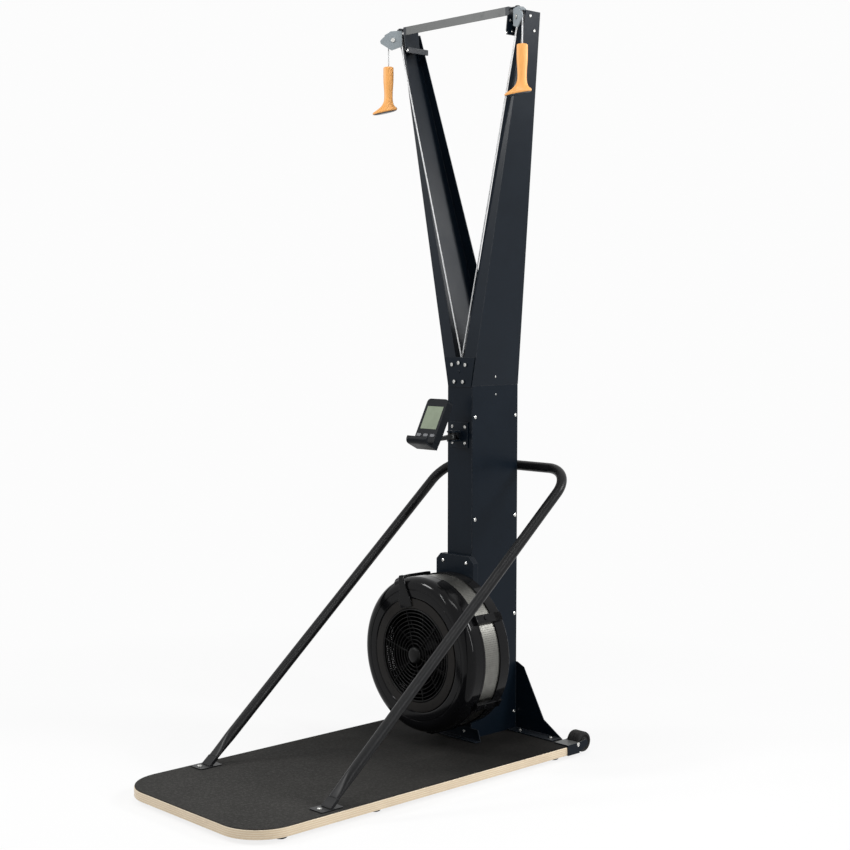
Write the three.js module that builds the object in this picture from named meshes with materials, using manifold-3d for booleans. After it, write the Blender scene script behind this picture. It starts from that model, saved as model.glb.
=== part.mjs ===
import * as THREE from 'three';
import { mergeVertices } from 'three/addons/utils/BufferGeometryUtils.js';
import Module from 'manifold-3d';

// Ski trainer. Millimetres, +Z up, +X to the user's right, +Y away from the user.
// Everything is drawn with the column's front face at y = 0 and the floor at z = 0, and the whole
// machine is then moved along Y so that the origin lies under the middle of its outer box.

const wasm = await Module();
wasm.setup();

// General fits
const seatGap = 0.3;
const runGap = 0.5;
const cutOverrun = 2;
const weldDistance = 0.001;
const sheet = 2.5;
const boltRadius = 4;
const boltHeadRadius = 6.5;
const boltHeadHeight = 3;

// Deck
const deckHalfWidth = 300;
const deckFront = 1005;
const deckBehindColumn = 4;
const footHeight = 12;
const footRadius = 17;
const footInset = 36;
const boardThick = 25;
const matThick = 2.7;
const matInset = 1.5;
const deckCornerRadius = 118;
const deckRearRadius = 18;
const footFrontInset = 117;
const footMiddleShare = 0.572;
const footRearInset = 73;

// Column
const columnHalfWidth = 50.6;
const columnDepth = 197;
const columnTop = 1096;
const columnLip = 34;

// Arms
const armTopZ = 2155.9;
const armTopHalf = 258.9;
const armTopDepth = 58.4;
const flangeTopFront = 13;
const flangeTopRear = 24.7;
const flangeStartRise = 11;
const flangeForward = 9;
const spliceRise = 84;
const spliceDrop = 4;
const spliceInset = 3;

// Crossbar and arm heads
const strapRise = 11.1;
const strapHeight = 24;
const strapFrontY = -28;
const strapThick = 3;
const headPlateInset = 41.3;
const headPlateDrop = 69;
const headPlateBack = 30;
const headPlateTilt = 8.2;
const tieBarHeight = 16;
const tieBarDrop = 6;
const tieBarFront = -22;
const tieBarBack = 62;
const tieBarThick = 6;
const webTabFront = 10;
const webTabBack = 50;
const pivotInset = 17.1;
const pivotY = -17;
const blockYawDeg = 63.3;
const headPulleyDrop = 34;
const pulleyPitch = 19.6;
const pulleyRim = 21.5;
const pulleyHalf = 6.5;
const cheekThick = 3;
const hoodThick = 2.5;
const hoodClearance = 5.5;
const hoodBack = 8;
const blockReach = 68.5;
const cheekDrop = 30;
const pivotPinRadius = 4;
const pivotTabThick = 3;
const pivotTabRadius = 10;
const axleRadius = 4;
const cordEntry = 12;
const cheekShoulderShare = 0.42;
const cheekChinShare = 0.38;
const hoodBendShare = 0.4;
const hoodTipShare = 0.72;
const hoodFallShare = 0.75;
const grooveFlare = 1.3;

// Cords and handles
const cordRadius = 1.75;
const guideAxleRise = 30;
const guidePitch = 12;
const guideHalf = 2.8;
const guideRim = 14;
const handleHang = 77;
const handleLength = 140;
const gripHalfLong = 15.5;
const gripHalfWide = 11;
const waistHalfLong = 13.5;
const waistHalfWide = 9.5;
const handleFootLong = 41;
const handleFootWide = 16;
const handleFootThick = 15;
const handleFootShift = 11;
const handleYawDeg = [7, 44];

// Handrail
const railInset = 38;
const railRadius = 15;
const railSlopeShare = 0.85;
const railFootY = -736;
const railFootZ = 42;
const railBend = 97;
const railStartLift = 22;
const railPlateFront = 775;
const railPlateBack = 700;
const railPlateHalf = 26;
const railPlateThick = 3;
const railTongueHalf = 18;
const railTongueThick = 9;

// Base brackets and transport wheels
const braceThick = 3;
const braceTopZ = 245.6;
const braceTopHalf = 54;
const braceShoulderHalf = 81;
const braceShoulderZ = 233;
const braceKneeHalf = 163.7;
const braceKneeZ = 86;
const braceFootInset = 62;
const braceFlange = 42;
const frontBracketHalf = 94;
const frontBracketTopHalf = 82;
const frontBracketTopZ = 75;
const frontBracketFlange = 26;
const wheelRadius = 30;
const wheelHalf = 22;
const wheelInset = 25.4;
const wheelBehind = 34;
const wheelZ = 38;
const bracketTabFront = 50;
const bracketThick = 3;
const wheelAxleRadius = 5;

// Fan
const fanZ = 313;
const mountDepth = 20;
const mountTopZ = 592;
const mountTopHalf = 60;
const mountShoulderHalf = 78;
const mountShoulderZ = 574;
const mountWaistZ = 420;
const mountFootHalf = 62;
const mountFootZ = 104;
const shellRadius = 228;
const shellWall = 3;
const shellBackY = -20.6;
const shellFrontY = -59;
const bandTuck = 4;
const bandWall = 2;
const bandFrontY = -119;
const coverFrontY = -182;
const coverFaceInset = 28;
const coverShoulderY = -155;
const coverOpeningInset = 62;
const shoulderShares = [[0.22, 0.55], [0.55, 0.87]];
const damperWidth = 27;
const damperThick = 3;
const damperLeverDeg = 104;
const damperLeverHalf = 13;
const damperLeverProud = 8;
const grilleClearance = 2;
const grilleWire = 3;
const grilleDepth = 4;
const grilleRings = 7;
const grilleSpokes = 6;
const spokeStartDeg = -14;
const hubCapRadius = 25;
const hubCapDepth = 7;
const lugPlacesDeg = [-33, 32, 112, 152, 212, 272];
const lugHalf = 13;
const lugReach = 12;
const rotorClearance = 22;
const rotorFrontY = -150;
const rotorBackY = -66;
const rotorBladeThick = 3;
const rotorBlades = 12;
const rotorHub = 34;
const rotorBladeInset = 6;
const shaftRadius = 8;
const shaftBackY = 112;
const carrierY = 104;
const carrierThick = 12;
const carrierHalfHeight = 40;
const drumRadius = 30;
const drumHalf = 9;
const drumPlaces = [22, 50];

// Console
const consoleTopY = -88;
const consoleRise = 113;
const consoleHeight = 144;
const consoleHalfWidth = 43;
const consoleThick = 24;
const consoleCorner = 12;
const consoleSlopeShare = 0.5;
const consoleHumpThick = 12;
const consoleHumpHeight = 74;
const consoleHumpHalf = 32;
const ledgeHalfWidth = 42;
const ledgeDepth = 30;
const ledgeHeight = 16;
const ledgeLip = 15;
const ledgeWall = 5;
const ledgeBend = 14;
const screenHalfWidth = 33;
const screenHeight = 72;
const screenDrop = 24;
const screenThick = 2;
const buttonDrop = 116;
const buttonPitch = 28;
const buttonHalfWidth = 9;
const buttonHalfHeight = 5;
const buttonThick = 4;
const buttonProud = 1.8;
const consolePlateHalf = 36;
const consolePlateAbove = 42;
const consolePlateBelow = 34;
const consolePlateThick = 4;
const knobX = -8;
const knobY = -25;
const knobDrop = 150;
const knobRadius = 15;
const knobHalfHeight = 11;
const clevisThick = 5;
const neckHalf = 8;
const tiltBack = 14;
const tiltRadius = 9;
const tiltEar = 6;

// Roundness of turned pieces and bends
const drumSides = 44;
const roundSides = 30;
const wheelSides = 24;
const smallSides = 14;
const cornerSteps = 8;
const bendSteps = 8;
const wrapSteps = 12;

// Places that follow from the sizes above
const deckTop = footHeight + boardThick + seatGap + matThick;
const onDeck = deckTop + seatGap;
const deckRear = columnDepth + deckBehindColumn;
const wheelY = deckRear + wheelBehind - deckBehindColumn;
const armRise = armTopZ - columnTop;
const armSlope = (armTopHalf - columnHalfWidth) / armRise;
const wheelRearY = wheelY + wheelRadius;
const machineShift = (deckFront - wheelRearY) / 2;
const blockYaw = THREE.MathUtils.degToRad(blockYawDeg);
const columnFloor = onDeck;
const braceFootHalf = deckHalfWidth - braceFootInset;
const coverFaceRadius = shellRadius - coverFaceInset;
const coverOpening = shellRadius - coverOpeningInset;
const damperInner = coverOpening - damperWidth;
const damperLeverReach = shellRadius + damperLeverProud;
const grilleRadius = damperInner - grilleClearance;
const rotorRadius = shellRadius - rotorClearance;
const footRowPlaces = [footFrontInset - deckFront, -deckFront * footMiddleShare, deckRear - footRearInset];
const wheelX = deckHalfWidth - wheelInset;
const railHalfWidth = deckHalfWidth - railInset;
const flangeStartZ = columnTop + flangeStartRise;
const spliceTopZ = columnTop + spliceRise;
const guideAxleZ = flangeStartZ + guideAxleRise;
const strapTopZ = armTopZ + strapRise;
const headPlateHalf = armTopHalf - headPlateInset;
const headPlateLow = strapTopZ - headPlateDrop;
const pivotX = armTopHalf - pivotInset;
const headPulleyZ = strapTopZ - headPulleyDrop;
const hoodTopZ = headPulleyZ + pulleyRim + hoodClearance;
const cheekLowZ = headPulleyZ - cheekDrop;
const handleTopZ = headPulleyZ - handleHang;
const knobZ = columnTop - knobDrop;
const consoleTopZ = knobZ + consoleRise;
const consolePlateTopZ = knobZ + consolePlateAbove;
const consolePlateLowZ = knobZ - consolePlateBelow;
const railBackY = columnDepth + seatGap + railRadius;

// Colours and finishes
const paint = (color, roughness, metalness) => (
  new THREE.MeshStandardMaterial({ color, roughness, metalness })
);
const finishes = {
  frame: paint(0x23282d, 0.5, 0.3),
  ply: paint(0xd8bd98, 0.6, 0),
  mat: paint(0x343331, 0.9, 0),
  rubber: paint(0x1a1a1a, 0.85, 0),
  steel: paint(0x9a9c9c, 0.35, 0.9),
  blockSteel: paint(0x7d848c, 0.4, 0.7),
  tube: paint(0x2a2b2c, 0.45, 0.3),
  shell: paint(0x1a1b1d, 0.25, 0),
  plastic: paint(0x151617, 0.5, 0),
  band: paint(0x8f8a80, 0.5, 0.4),
  orange: paint(0xf2a04e, 0.5, 0),
  cord: paint(0xd9dde0, 0.6, 0),
  screen: paint(0x9aa392, 0.2, 0),
  button: paint(0x8c9196, 0.4, 0),
  rotor: paint(0x0f1011, 0.5, 0.3),
};

// Geometry helpers
const axisX = new THREE.Vector3(1, 0, 0);
const axisY = new THREE.Vector3(0, 1, 0);
const axisZ = new THREE.Vector3(0, 0, 1);

// A closed solid from a geometry: welded, without zero-area faces, faces pointing out.
function trianglesOf(geometry) {
  const plain = geometry.clone();
  plain.deleteAttribute('normal');
  plain.deleteAttribute('uv');
  const welded = mergeVertices(plain, weldDistance);
  const place = welded.getAttribute('position');
  const index = welded.index.array;
  const faces = [];
  for (let i = 0; i < index.length; i += 3) {
    const [a, b, c] = [index[i], index[i + 1], index[i + 2]];
    if (a !== b && b !== c && c !== a) faces.push(a, b, c);
  }
  const p = [new THREE.Vector3(), new THREE.Vector3(), new THREE.Vector3()];
  let volume = 0;
  for (let i = 0; i < faces.length; i += 3) {
    p.forEach((v, k) => v.fromBufferAttribute(place, faces[i + k]));
    volume += p[0].dot(p[1].clone().cross(p[2]));
  }
  if (volume < 0) {
    for (let i = 0; i < faces.length; i += 3) [faces[i], faces[i + 1]] = [faces[i + 1], faces[i]];
  }
  return { points: Float32Array.from(place.array), faces: Uint32Array.from(faces) };
}

function solidOf(geometry) {
  const { points, faces } = trianglesOf(geometry);
  return new wasm.Manifold(new wasm.Mesh({ numProp: 3, vertProperties: points, triVerts: faces }));
}

function geometryOf(solid) {
  const mesh = solid.getMesh();
  const geometry = new THREE.BufferGeometry();
  geometry.setAttribute('position', new THREE.BufferAttribute(Float32Array.from(mesh.vertProperties), 3));
  geometry.setIndex(new THREE.BufferAttribute(Uint32Array.from(mesh.triVerts), 1));
  return geometry;
}

const join = (first, ...rest) => geometryOf(rest.reduce((body, g) => body.add(solidOf(g)), solidOf(first)));
const cut = (first, ...rest) => (
  geometryOf(rest.reduce((body, g) => body.subtract(solidOf(g)), solidOf(first)))
);
const common = (a, b) => geometryOf(solidOf(a).intersect(solidOf(b)));

function mirrored(geometry) {
  const flipped = geometry.index ? geometry.clone() : mergeVertices(geometry, weldDistance);
  flipped.applyMatrix4(new THREE.Matrix4().makeScale(-1, 1, 1));
  return geometryOf(solidOf(flipped));
}

// A flat outline drawn in two axes and thickened along the third: 'x' takes (y, z), 'y' (x, z), 'z' (x, y).
function slab(points, along, low, high) {
  const shape = new THREE.Shape(points.map(([a, b]) => new THREE.Vector2(a, b)));
  const geometry = new THREE.ExtrudeGeometry(shape, { depth: high - low, bevelEnabled: false });
  const turn = new THREE.Matrix4();
  if (along === 'x') turn.makeBasis(axisY, axisZ, axisX).setPosition(low, 0, 0);
  if (along === 'y') turn.makeBasis(axisX, axisZ, axisY.clone().negate()).setPosition(0, high, 0);
  if (along === 'z') turn.setPosition(0, 0, low);
  return geometry.applyMatrix4(turn);
}

const box = (x0, x1, y0, y1, z0, z1) => slab([[x0, y0], [x1, y0], [x1, y1], [x0, y1]], 'z', z0, z1);

function circle(radius, sides, ca = 0, cb = 0) {
  return Array.from({ length: sides }, (_, i) => {
    const turn = (i / sides) * Math.PI * 2;
    return [ca + radius * Math.cos(turn), cb + radius * Math.sin(turn)];
  });
}

function arc(radius, from, to, steps, ca, cb) {
  return Array.from({ length: steps + 1 }, (_, i) => {
    const turn = from + ((to - from) * i) / steps;
    return [ca + radius * Math.cos(turn), cb + radius * Math.sin(turn)];
  });
}

const rod = (along, radius, low, high, ca, cb, sides = smallSides) =>
  slab(circle(radius, sides, ca, cb), along, low, high);

// An outline whose corners are rounded by the radius given beside each of them: [a, b, radius].
function rounded(corners, steps = cornerSteps) {
  const points = [];
  corners.forEach(([a, b, radius = 0], i) => {
    const here = new THREE.Vector2(a, b);
    if (!radius) {
      points.push([a, b]);
      return;
    }
    const before = corners[(i + corners.length - 1) % corners.length];
    const after = corners[(i + 1) % corners.length];
    const toBefore = new THREE.Vector2(before[0] - a, before[1] - b).normalize();
    const toAfter = new THREE.Vector2(after[0] - a, after[1] - b).normalize();
    const half = Math.acos(THREE.MathUtils.clamp(toBefore.dot(toAfter), -1, 1)) / 2;
    const reach = radius / Math.tan(half);
    const middle = toBefore.clone().add(toAfter).normalize();
    const centre = here.clone().addScaledVector(middle, radius / Math.sin(half));
    const start = here.clone().addScaledVector(toBefore, reach).sub(centre);
    const end = here.clone().addScaledVector(toAfter, reach).sub(centre);
    const from = start.angle();
    let sweep = end.angle() - from;
    if (sweep > Math.PI) sweep -= Math.PI * 2;
    if (sweep < -Math.PI) sweep += Math.PI * 2;
    for (let k = 0; k <= steps; k += 1) {
      const turn = from + (sweep * k) / steps;
      points.push([centre.x + radius * Math.cos(turn), centre.y + radius * Math.sin(turn)]);
    }
  });
  return points;
}

// A turned piece about an axis parallel to Y; the profile lists [radius, y] and closes on itself.
function turned(profile, cx, cz, sides = roundSides) {
  const lathe = new THREE.LatheGeometry(profile.map(([r, y]) => new THREE.Vector2(r, y)), sides);
  return lathe.translate(cx, 0, cz);
}

const ringProfile = (inner, outer, y0, y1) => [
  [inner, y0], [outer, y0], [outer, y1], [inner, y1], [inner, y0],
];

// A six-faced solid between a low and a high four-cornered face; a twisted pair of faces is split alike.
function sixFaced(low, high) {
  const corners = [...low, ...high].flat();
  const faces = [0, 2, 1, 0, 3, 2, 4, 5, 6, 4, 6, 7];
  for (let i = 0; i < low.length; i += 1) {
    const next = (i + 1) % low.length;
    if (i < low.length / 2) faces.push(i, next, low.length + next, i, low.length + next, low.length + i);
    else faces.push(i, next, low.length + i, next, low.length + next, low.length + i);
  }
  const geometry = new THREE.BufferGeometry();
  geometry.setAttribute('position', new THREE.Float32BufferAttribute(corners, 3));
  geometry.setIndex(faces);
  return geometry;
}

// A path that passes exactly through its points, one step of the sweep per point.
class RoutedPath extends THREE.Curve {
  constructor(points) {
    super();
    this.points = points;
  }

  getPoint(share, target = new THREE.Vector3()) {
    const at = share * (this.points.length - 1);
    const i = Math.min(Math.floor(at), this.points.length - 2);
    return target.copy(this.points[i]).lerp(this.points[i + 1], at - i);
  }

  getPointAt(share, target) {
    return this.getPoint(share, target);
  }
}

function tube(points, radius, sides) {
  const path = new RoutedPath(points.map((p) => new THREE.Vector3(...p)));
  const section = new THREE.Shape(circle(radius, sides).map(([a, b]) => new THREE.Vector2(a, b)));
  return new THREE.ExtrudeGeometry(section, { extrudePath: path, steps: points.length - 1 });
}

// A lofted piece through rings of equal count, closed at both ends.
function loft(rings) {
  const count = rings[0].length;
  const corners = rings.flat(2);
  const faces = [];
  for (let r = 0; r + 1 < rings.length; r += 1) {
    for (let i = 0; i < count; i += 1) {
      const next = (i + 1) % count;
      const a = r * count + i;
      const b = r * count + next;
      faces.push(a, b, b + count, a, b + count, a + count);
    }
  }
  const last = (rings.length - 1) * count;
  for (let i = 1; i + 1 < count; i += 1) {
    faces.push(0, i + 1, i);
    faces.push(last, last + i, last + i + 1);
  }
  const geometry = new THREE.BufferGeometry();
  geometry.setAttribute('position', new THREE.Float32BufferAttribute(corners, 3));
  geometry.setIndex(faces);
  return geometry;
}

const machine = new THREE.Group();
machine.position.y = machineShift;

function add(name, geometry, material) {
  const { points, faces } = trianglesOf(geometry);
  const clean = new THREE.BufferGeometry();
  clean.setAttribute('position', new THREE.BufferAttribute(points, 3));
  clean.setIndex(new THREE.BufferAttribute(faces, 1));
  clean.computeVertexNormals();
  const mesh = new THREE.Mesh(clean, material);
  mesh.name = name;
  machine.add(mesh);
}

const sides = [['left', -1], ['right', 1]];
const sided = (geometry, sign) => (sign > 0 ? geometry : mirrored(geometry));

// Deck: board, mat and feet
{
  const outline = (inset) => rounded([
    [-deckHalfWidth + inset, -deckFront + inset, deckCornerRadius - inset],
    [deckHalfWidth - inset, -deckFront + inset, deckCornerRadius - inset],
    [deckHalfWidth - inset, deckRear - inset, deckRearRadius - inset],
    [-deckHalfWidth + inset, deckRear - inset, deckRearRadius - inset],
  ]);
  const boardTop = footHeight + boardThick;
  add('deck_board', slab(outline(0), 'z', footHeight, boardTop), finishes.ply);
  add('deck_mat', slab(outline(matInset), 'z', boardTop + seatGap, deckTop), finishes.mat);
  let count = 0;
  footRowPlaces.forEach((y) => {
    [-1, 1].forEach((sign) => {
      count += 1;
      const x = sign * (deckHalfWidth - footInset);
      add(`foot_${count}`, rod('z', footRadius, 0, footHeight - seatGap, x, y), finishes.rubber);
    });
  });
}

// Column: front and rear channels inside two side panels
{
  const lipOuter = columnHalfWidth - sheet - seatGap;
  const channel = (y0, y1, lipY0, lipY1) => join(
    box(-columnHalfWidth, columnHalfWidth, y0, y1, columnFloor, columnTop - seatGap),
    box(-lipOuter, -lipOuter + sheet, lipY0, lipY1, columnFloor, columnTop - seatGap),
    box(lipOuter - sheet, lipOuter, lipY0, lipY1, columnFloor, columnTop - seatGap),
  );
  const shaftHole = rod('y', shaftRadius + boltRadius, -cutOverrun, sheet + cutOverrun, 0, fanZ);
  add('column_front', cut(channel(0, sheet, 0, columnLip), shaftHole), finishes.frame);
  const rearChannel = channel(columnDepth - sheet, columnDepth, columnDepth - columnLip, columnDepth);
  add('column_rear', rearChannel, finishes.frame);
  sides.forEach(([side, sign]) => {
    const panel = box(
      columnHalfWidth - sheet, columnHalfWidth,
      sheet + seatGap, columnDepth - sheet - seatGap, columnFloor, columnTop - seatGap,
    );
    add(`column_side_${side}`, sided(panel, sign), finishes.frame);
  });
}

// Arms: tapered channels, open towards the middle, front flange turned slightly forward at the top
const frontEdgeX = (z) => seatGap * 2
  + ((z - flangeStartZ) / (armTopZ - flangeStartZ)) * (armTopHalf - flangeTopFront - seatGap * 2);
const rearEdgeX = (z) => seatGap * 2
  + ((z - flangeStartZ) / (armTopZ - flangeStartZ)) * (armTopHalf - flangeTopRear - seatGap * 2);
const armOuterX = (z) => columnHalfWidth + armSlope * (z - columnTop);
const armRearY = (z) => columnDepth - ((columnDepth - armTopDepth) * (z - columnTop)) / armRise;
{
  const level = (z, x0, x1, y0a, y0b, thick) => [
    [x0, y0a, z], [x1, y0b, z], [x1, y0b + thick, z], [x0, y0a + thick, z],
  ];
  const web = sixFaced(
    [[columnHalfWidth - sheet, 0, columnTop], [columnHalfWidth, 0, columnTop],
      [columnHalfWidth, columnDepth, columnTop], [columnHalfWidth - sheet, columnDepth, columnTop]],
    [[armTopHalf - sheet, 0, armTopZ], [armTopHalf, 0, armTopZ],
      [armTopHalf, armTopDepth, armTopZ], [armTopHalf - sheet, armTopDepth, armTopZ]],
  );
  const startX = armOuterX(flangeStartZ) - sheet / 2;
  const endX = armTopHalf - sheet / 2;
  const foot = (y) => box(
    seatGap * 2, columnHalfWidth - sheet / 2, y, y + sheet, columnTop + runGap, flangeStartZ + sheet,
  );
  const front = sixFaced(
    level(flangeStartZ, seatGap * 2, startX, -seatGap, seatGap, sheet),
    level(armTopZ - runGap, frontEdgeX(armTopZ), endX, -flangeForward, seatGap, sheet),
  );
  const rearLow = armRearY(flangeStartZ) - sheet - seatGap;
  const rearTop = armTopDepth - sheet - seatGap;
  const rear = sixFaced(
    level(flangeStartZ, seatGap * 2, startX, rearLow, rearLow, sheet),
    level(armTopZ - runGap, rearEdgeX(armTopZ), endX, rearTop, rearTop, sheet),
  );
  const pieces = [web, front, rear, foot(0), foot(rearLow)];
  sides.forEach(([side, sign]) => {
    add(`arm_${side}`, join(...pieces.map((piece) => sided(piece, sign))), finishes.frame);
  });

  const plateHalf = (z) => armOuterX(z) - spliceInset;
  const lowZ = columnTop - spliceDrop;
  const lowHalf = columnHalfWidth - spliceInset;
  const plate = slab(
    [[-lowHalf, lowZ], [lowHalf, lowZ], [lowHalf, columnTop], [plateHalf(spliceTopZ), spliceTopZ],
      [-plateHalf(spliceTopZ), spliceTopZ], [-lowHalf, columnTop]],
    'y', -sheet - flangeForwardAt(spliceTopZ) - seatGap, -flangeForwardAt(spliceTopZ) - seatGap,
  );
  const axle = rod('y', axleRadius, -sheet - flangeForwardAt(spliceTopZ) - boltHeadHeight,
    sheet + seatGap + runGap * 4 + guideHalf * 4 + boltHeadHeight, 0, guideAxleZ);
  add('splice_plate', join(plate, axle), finishes.frame);
}

// How far the front flange's inner edge stands forward at a height
function flangeForwardAt(z) {
  return (flangeForward * (z - flangeStartZ)) / (armTopZ - flangeStartZ);
}

// Crossbar: strap, bent-back head plates with tie bars, web tabs and the pivot pins of the pulley blocks
{
  const strapLow = strapTopZ - strapHeight;
  const strapBack = strapFrontY + strapThick;
  const strap = box(-headPlateHalf, headPlateHalf, strapFrontY, strapBack, strapLow, strapTopZ);
  const plateX = (z) => headPlateHalf - (headPlateTilt * (strapTopZ - z)) / (strapTopZ - headPlateLow);
  const headPlate = slab(
    [[plateX(strapTopZ), strapTopZ], [plateX(strapTopZ) - strapThick, strapTopZ],
      [plateX(headPlateLow) - strapThick, headPlateLow], [plateX(headPlateLow), headPlateLow]],
    'y', strapFrontY, headPlateBack,
  );
  const barX = plateX(headPlateLow);
  const tieBar = box(barX - tieBarThick, barX, tieBarFront, tieBarBack, headPlateLow - tieBarDrop,
    headPlateLow - tieBarDrop + tieBarHeight);
  const webInner = (z) => armOuterX(z) - sheet - seatGap;
  const tabTop = armTopZ - sheet;
  const webTab = slab(
    [[webInner(headPlateLow), headPlateLow], [webInner(tabTop), tabTop],
      [webInner(tabTop) - strapThick, tabTop], [webInner(headPlateLow) - strapThick, headPlateLow]],
    'y', webTabFront, webTabBack,
  );
  const returnPlate = slab(
    [[plateX(headPlateLow) - strapThick / 2, headPlateLow],
      [webInner(headPlateLow) - strapThick / 2, headPlateLow],
      [webInner(tabTop) - strapThick / 2, tabTop], [plateX(tabTop) - strapThick / 2, tabTop]],
    'y', headPlateBack - strapThick, headPlateBack,
  );
  const tabLow = hoodTopZ + runGap * 2;
  const pivotTab = slab(
    [...arc(pivotTabRadius, -Math.PI / 2, Math.PI / 2, bendSteps, pivotX, pivotY),
      [headPlateHalf - strapThick, pivotY + pivotTabRadius],
      [headPlateHalf - strapThick, pivotY - pivotTabRadius]],
    'z', tabLow, tabLow + pivotTabThick,
  );
  const tabTopFace = tabLow + pivotTabThick;
  const nutTop = hoodTopZ - hoodThick - runGap;
  const pin = join(
    rod('z', pivotPinRadius, nutTop - boltHeadHeight / 2, tabTopFace, pivotX, pivotY),
    rod('z', boltHeadRadius, tabLow + pivotTabThick / 2, tabTopFace + boltHeadHeight, pivotX, pivotY),
    rod('z', boltHeadRadius, nutTop - boltHeadHeight, nutTop, pivotX, pivotY),
  );
  const side = join(headPlate, tieBar, webTab, returnPlate, pivotTab, pin);
  add('crossbar', join(strap, side, mirrored(side)), finishes.frame);
}

// Pulley blocks: drawn pointing forward (-Y) with the swivel axis at the origin, then turned outwards.
// s runs forward along the block, t towards the middle of the machine.
const blockPlace = (sign) => new THREE.Matrix4().makeTranslation(sign * pivotX, pivotY, 0)
  .multiply(new THREE.Matrix4().makeRotationZ(sign * blockYaw));
{
  const axleS = pulleyPitch;
  const cheekIn = pulleyHalf + runGap;
  const cheekOut = cheekIn + cheekThick;
  const tipRadius = blockReach / 8;
  const cheekOutline = rounded([
    [-hoodBack, cheekLowZ + boltHeadRadius + cheekThick], [-hoodBack, hoodTopZ],
    [blockReach * cheekShoulderShare, hoodTopZ, tipRadius], [blockReach, headPulleyZ - cheekThick, tipRadius],
    [blockReach * cheekChinShare, cheekLowZ, tipRadius / 2],
  ]);
  const toBlock = (points) => points.map(([s, z]) => [-s, z]);
  const hoodBend = blockReach * hoodBendShare;
  const hoodTip = blockReach * hoodTipShare;
  const hoodTipZ = headPulleyZ + pulleyRim * hoodFallShare;
  const hoodOutline = [
    [-hoodBack, hoodTopZ], [hoodBend, hoodTopZ], [hoodTip, hoodTipZ],
    [hoodTip - hoodThick / 2, hoodTipZ - hoodThick], [hoodBend - hoodThick / 4, hoodTopZ - hoodThick],
    [-hoodBack, hoodTopZ - hoodThick],
  ];
  sides.forEach(([side, sign]) => {
    const cheekX = [-sign * cheekIn, -sign * cheekOut].sort((a, b) => a - b);
    const hoodX = [-sign * (cheekIn + cheekThick / 2), sign * cheekIn].sort((a, b) => a - b);
    const cheek = slab(toBlock(cheekOutline), 'x', ...cheekX);
    const hood = slab(toBlock(hoodOutline), 'x', ...hoodX);
    const pinHole = rod(
      'z', pivotPinRadius + runGap, hoodTopZ - hoodThick - cutOverrun, hoodTopZ + cutOverrun, 0, 0,
    );
    const axleHole = rod(
      'x', axleRadius + seatGap, cheekX[0] - cutOverrun, cheekX[1] + cutOverrun, -axleS, headPulleyZ,
    );
    const block = cut(join(cheek, hood), pinHole, axleHole);
    add(`pulley_block_${side}`, block.applyMatrix4(blockPlace(sign)), finishes.blockSteel);

    const axleFar = sign * (pulleyHalf + seatGap);
    const shaftX = [-sign * (cheekOut + seatGap + boltHeadHeight), axleFar + sign * boltHeadHeight];
    const headX = [-sign * (cheekOut + seatGap), -sign * (cheekOut + seatGap + boltHeadHeight)];
    const nutX = [axleFar, axleFar + sign * boltHeadHeight];
    const across = (pair) => pair.sort((a, b) => a - b);
    const axle = join(
      rod('x', axleRadius, ...across(shaftX), -axleS, headPulleyZ),
      rod('x', boltHeadRadius, ...across(headX), -axleS, headPulleyZ),
      rod('x', boltHeadRadius, ...across(nutX), -axleS, headPulleyZ),
    );
    add(`head_axle_${side}`, axle.applyMatrix4(blockPlace(sign)), finishes.steel);

    const grooveRadius = pulleyPitch - cordRadius - seatGap * 2;
    const grooveHalf = cordRadius + seatGap;
    const wheel = turned([
      [axleRadius + seatGap, -pulleyHalf], [pulleyRim, -pulleyHalf], [pulleyRim, -grooveHalf * grooveFlare],
      [grooveRadius, -grooveHalf], [grooveRadius, grooveHalf], [pulleyRim, grooveHalf * grooveFlare],
      [pulleyRim, pulleyHalf], [axleRadius + seatGap, pulleyHalf], [axleRadius + seatGap, -pulleyHalf],
    ], 0, 0, wheelSides);
    wheel.rotateZ(Math.PI / 2).translate(0, -axleS, headPulleyZ);
    add(`head_pulley_${side}`, wheel.applyMatrix4(blockPlace(sign)), finishes.plastic);

    const wrap = [];
    for (let k = 0; k <= wrapSteps; k += 1) {
      const turn = (Math.PI * k) / wrapSteps;
      wrap.push([0, -axleS + pulleyPitch * Math.cos(turn), headPulleyZ + pulleyPitch * Math.sin(turn)]);
    }
    add(`cord_wrap_${side}`, tube(wrap, cordRadius, 8).applyMatrix4(blockPlace(sign)), finishes.cord);
  });
}

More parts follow.
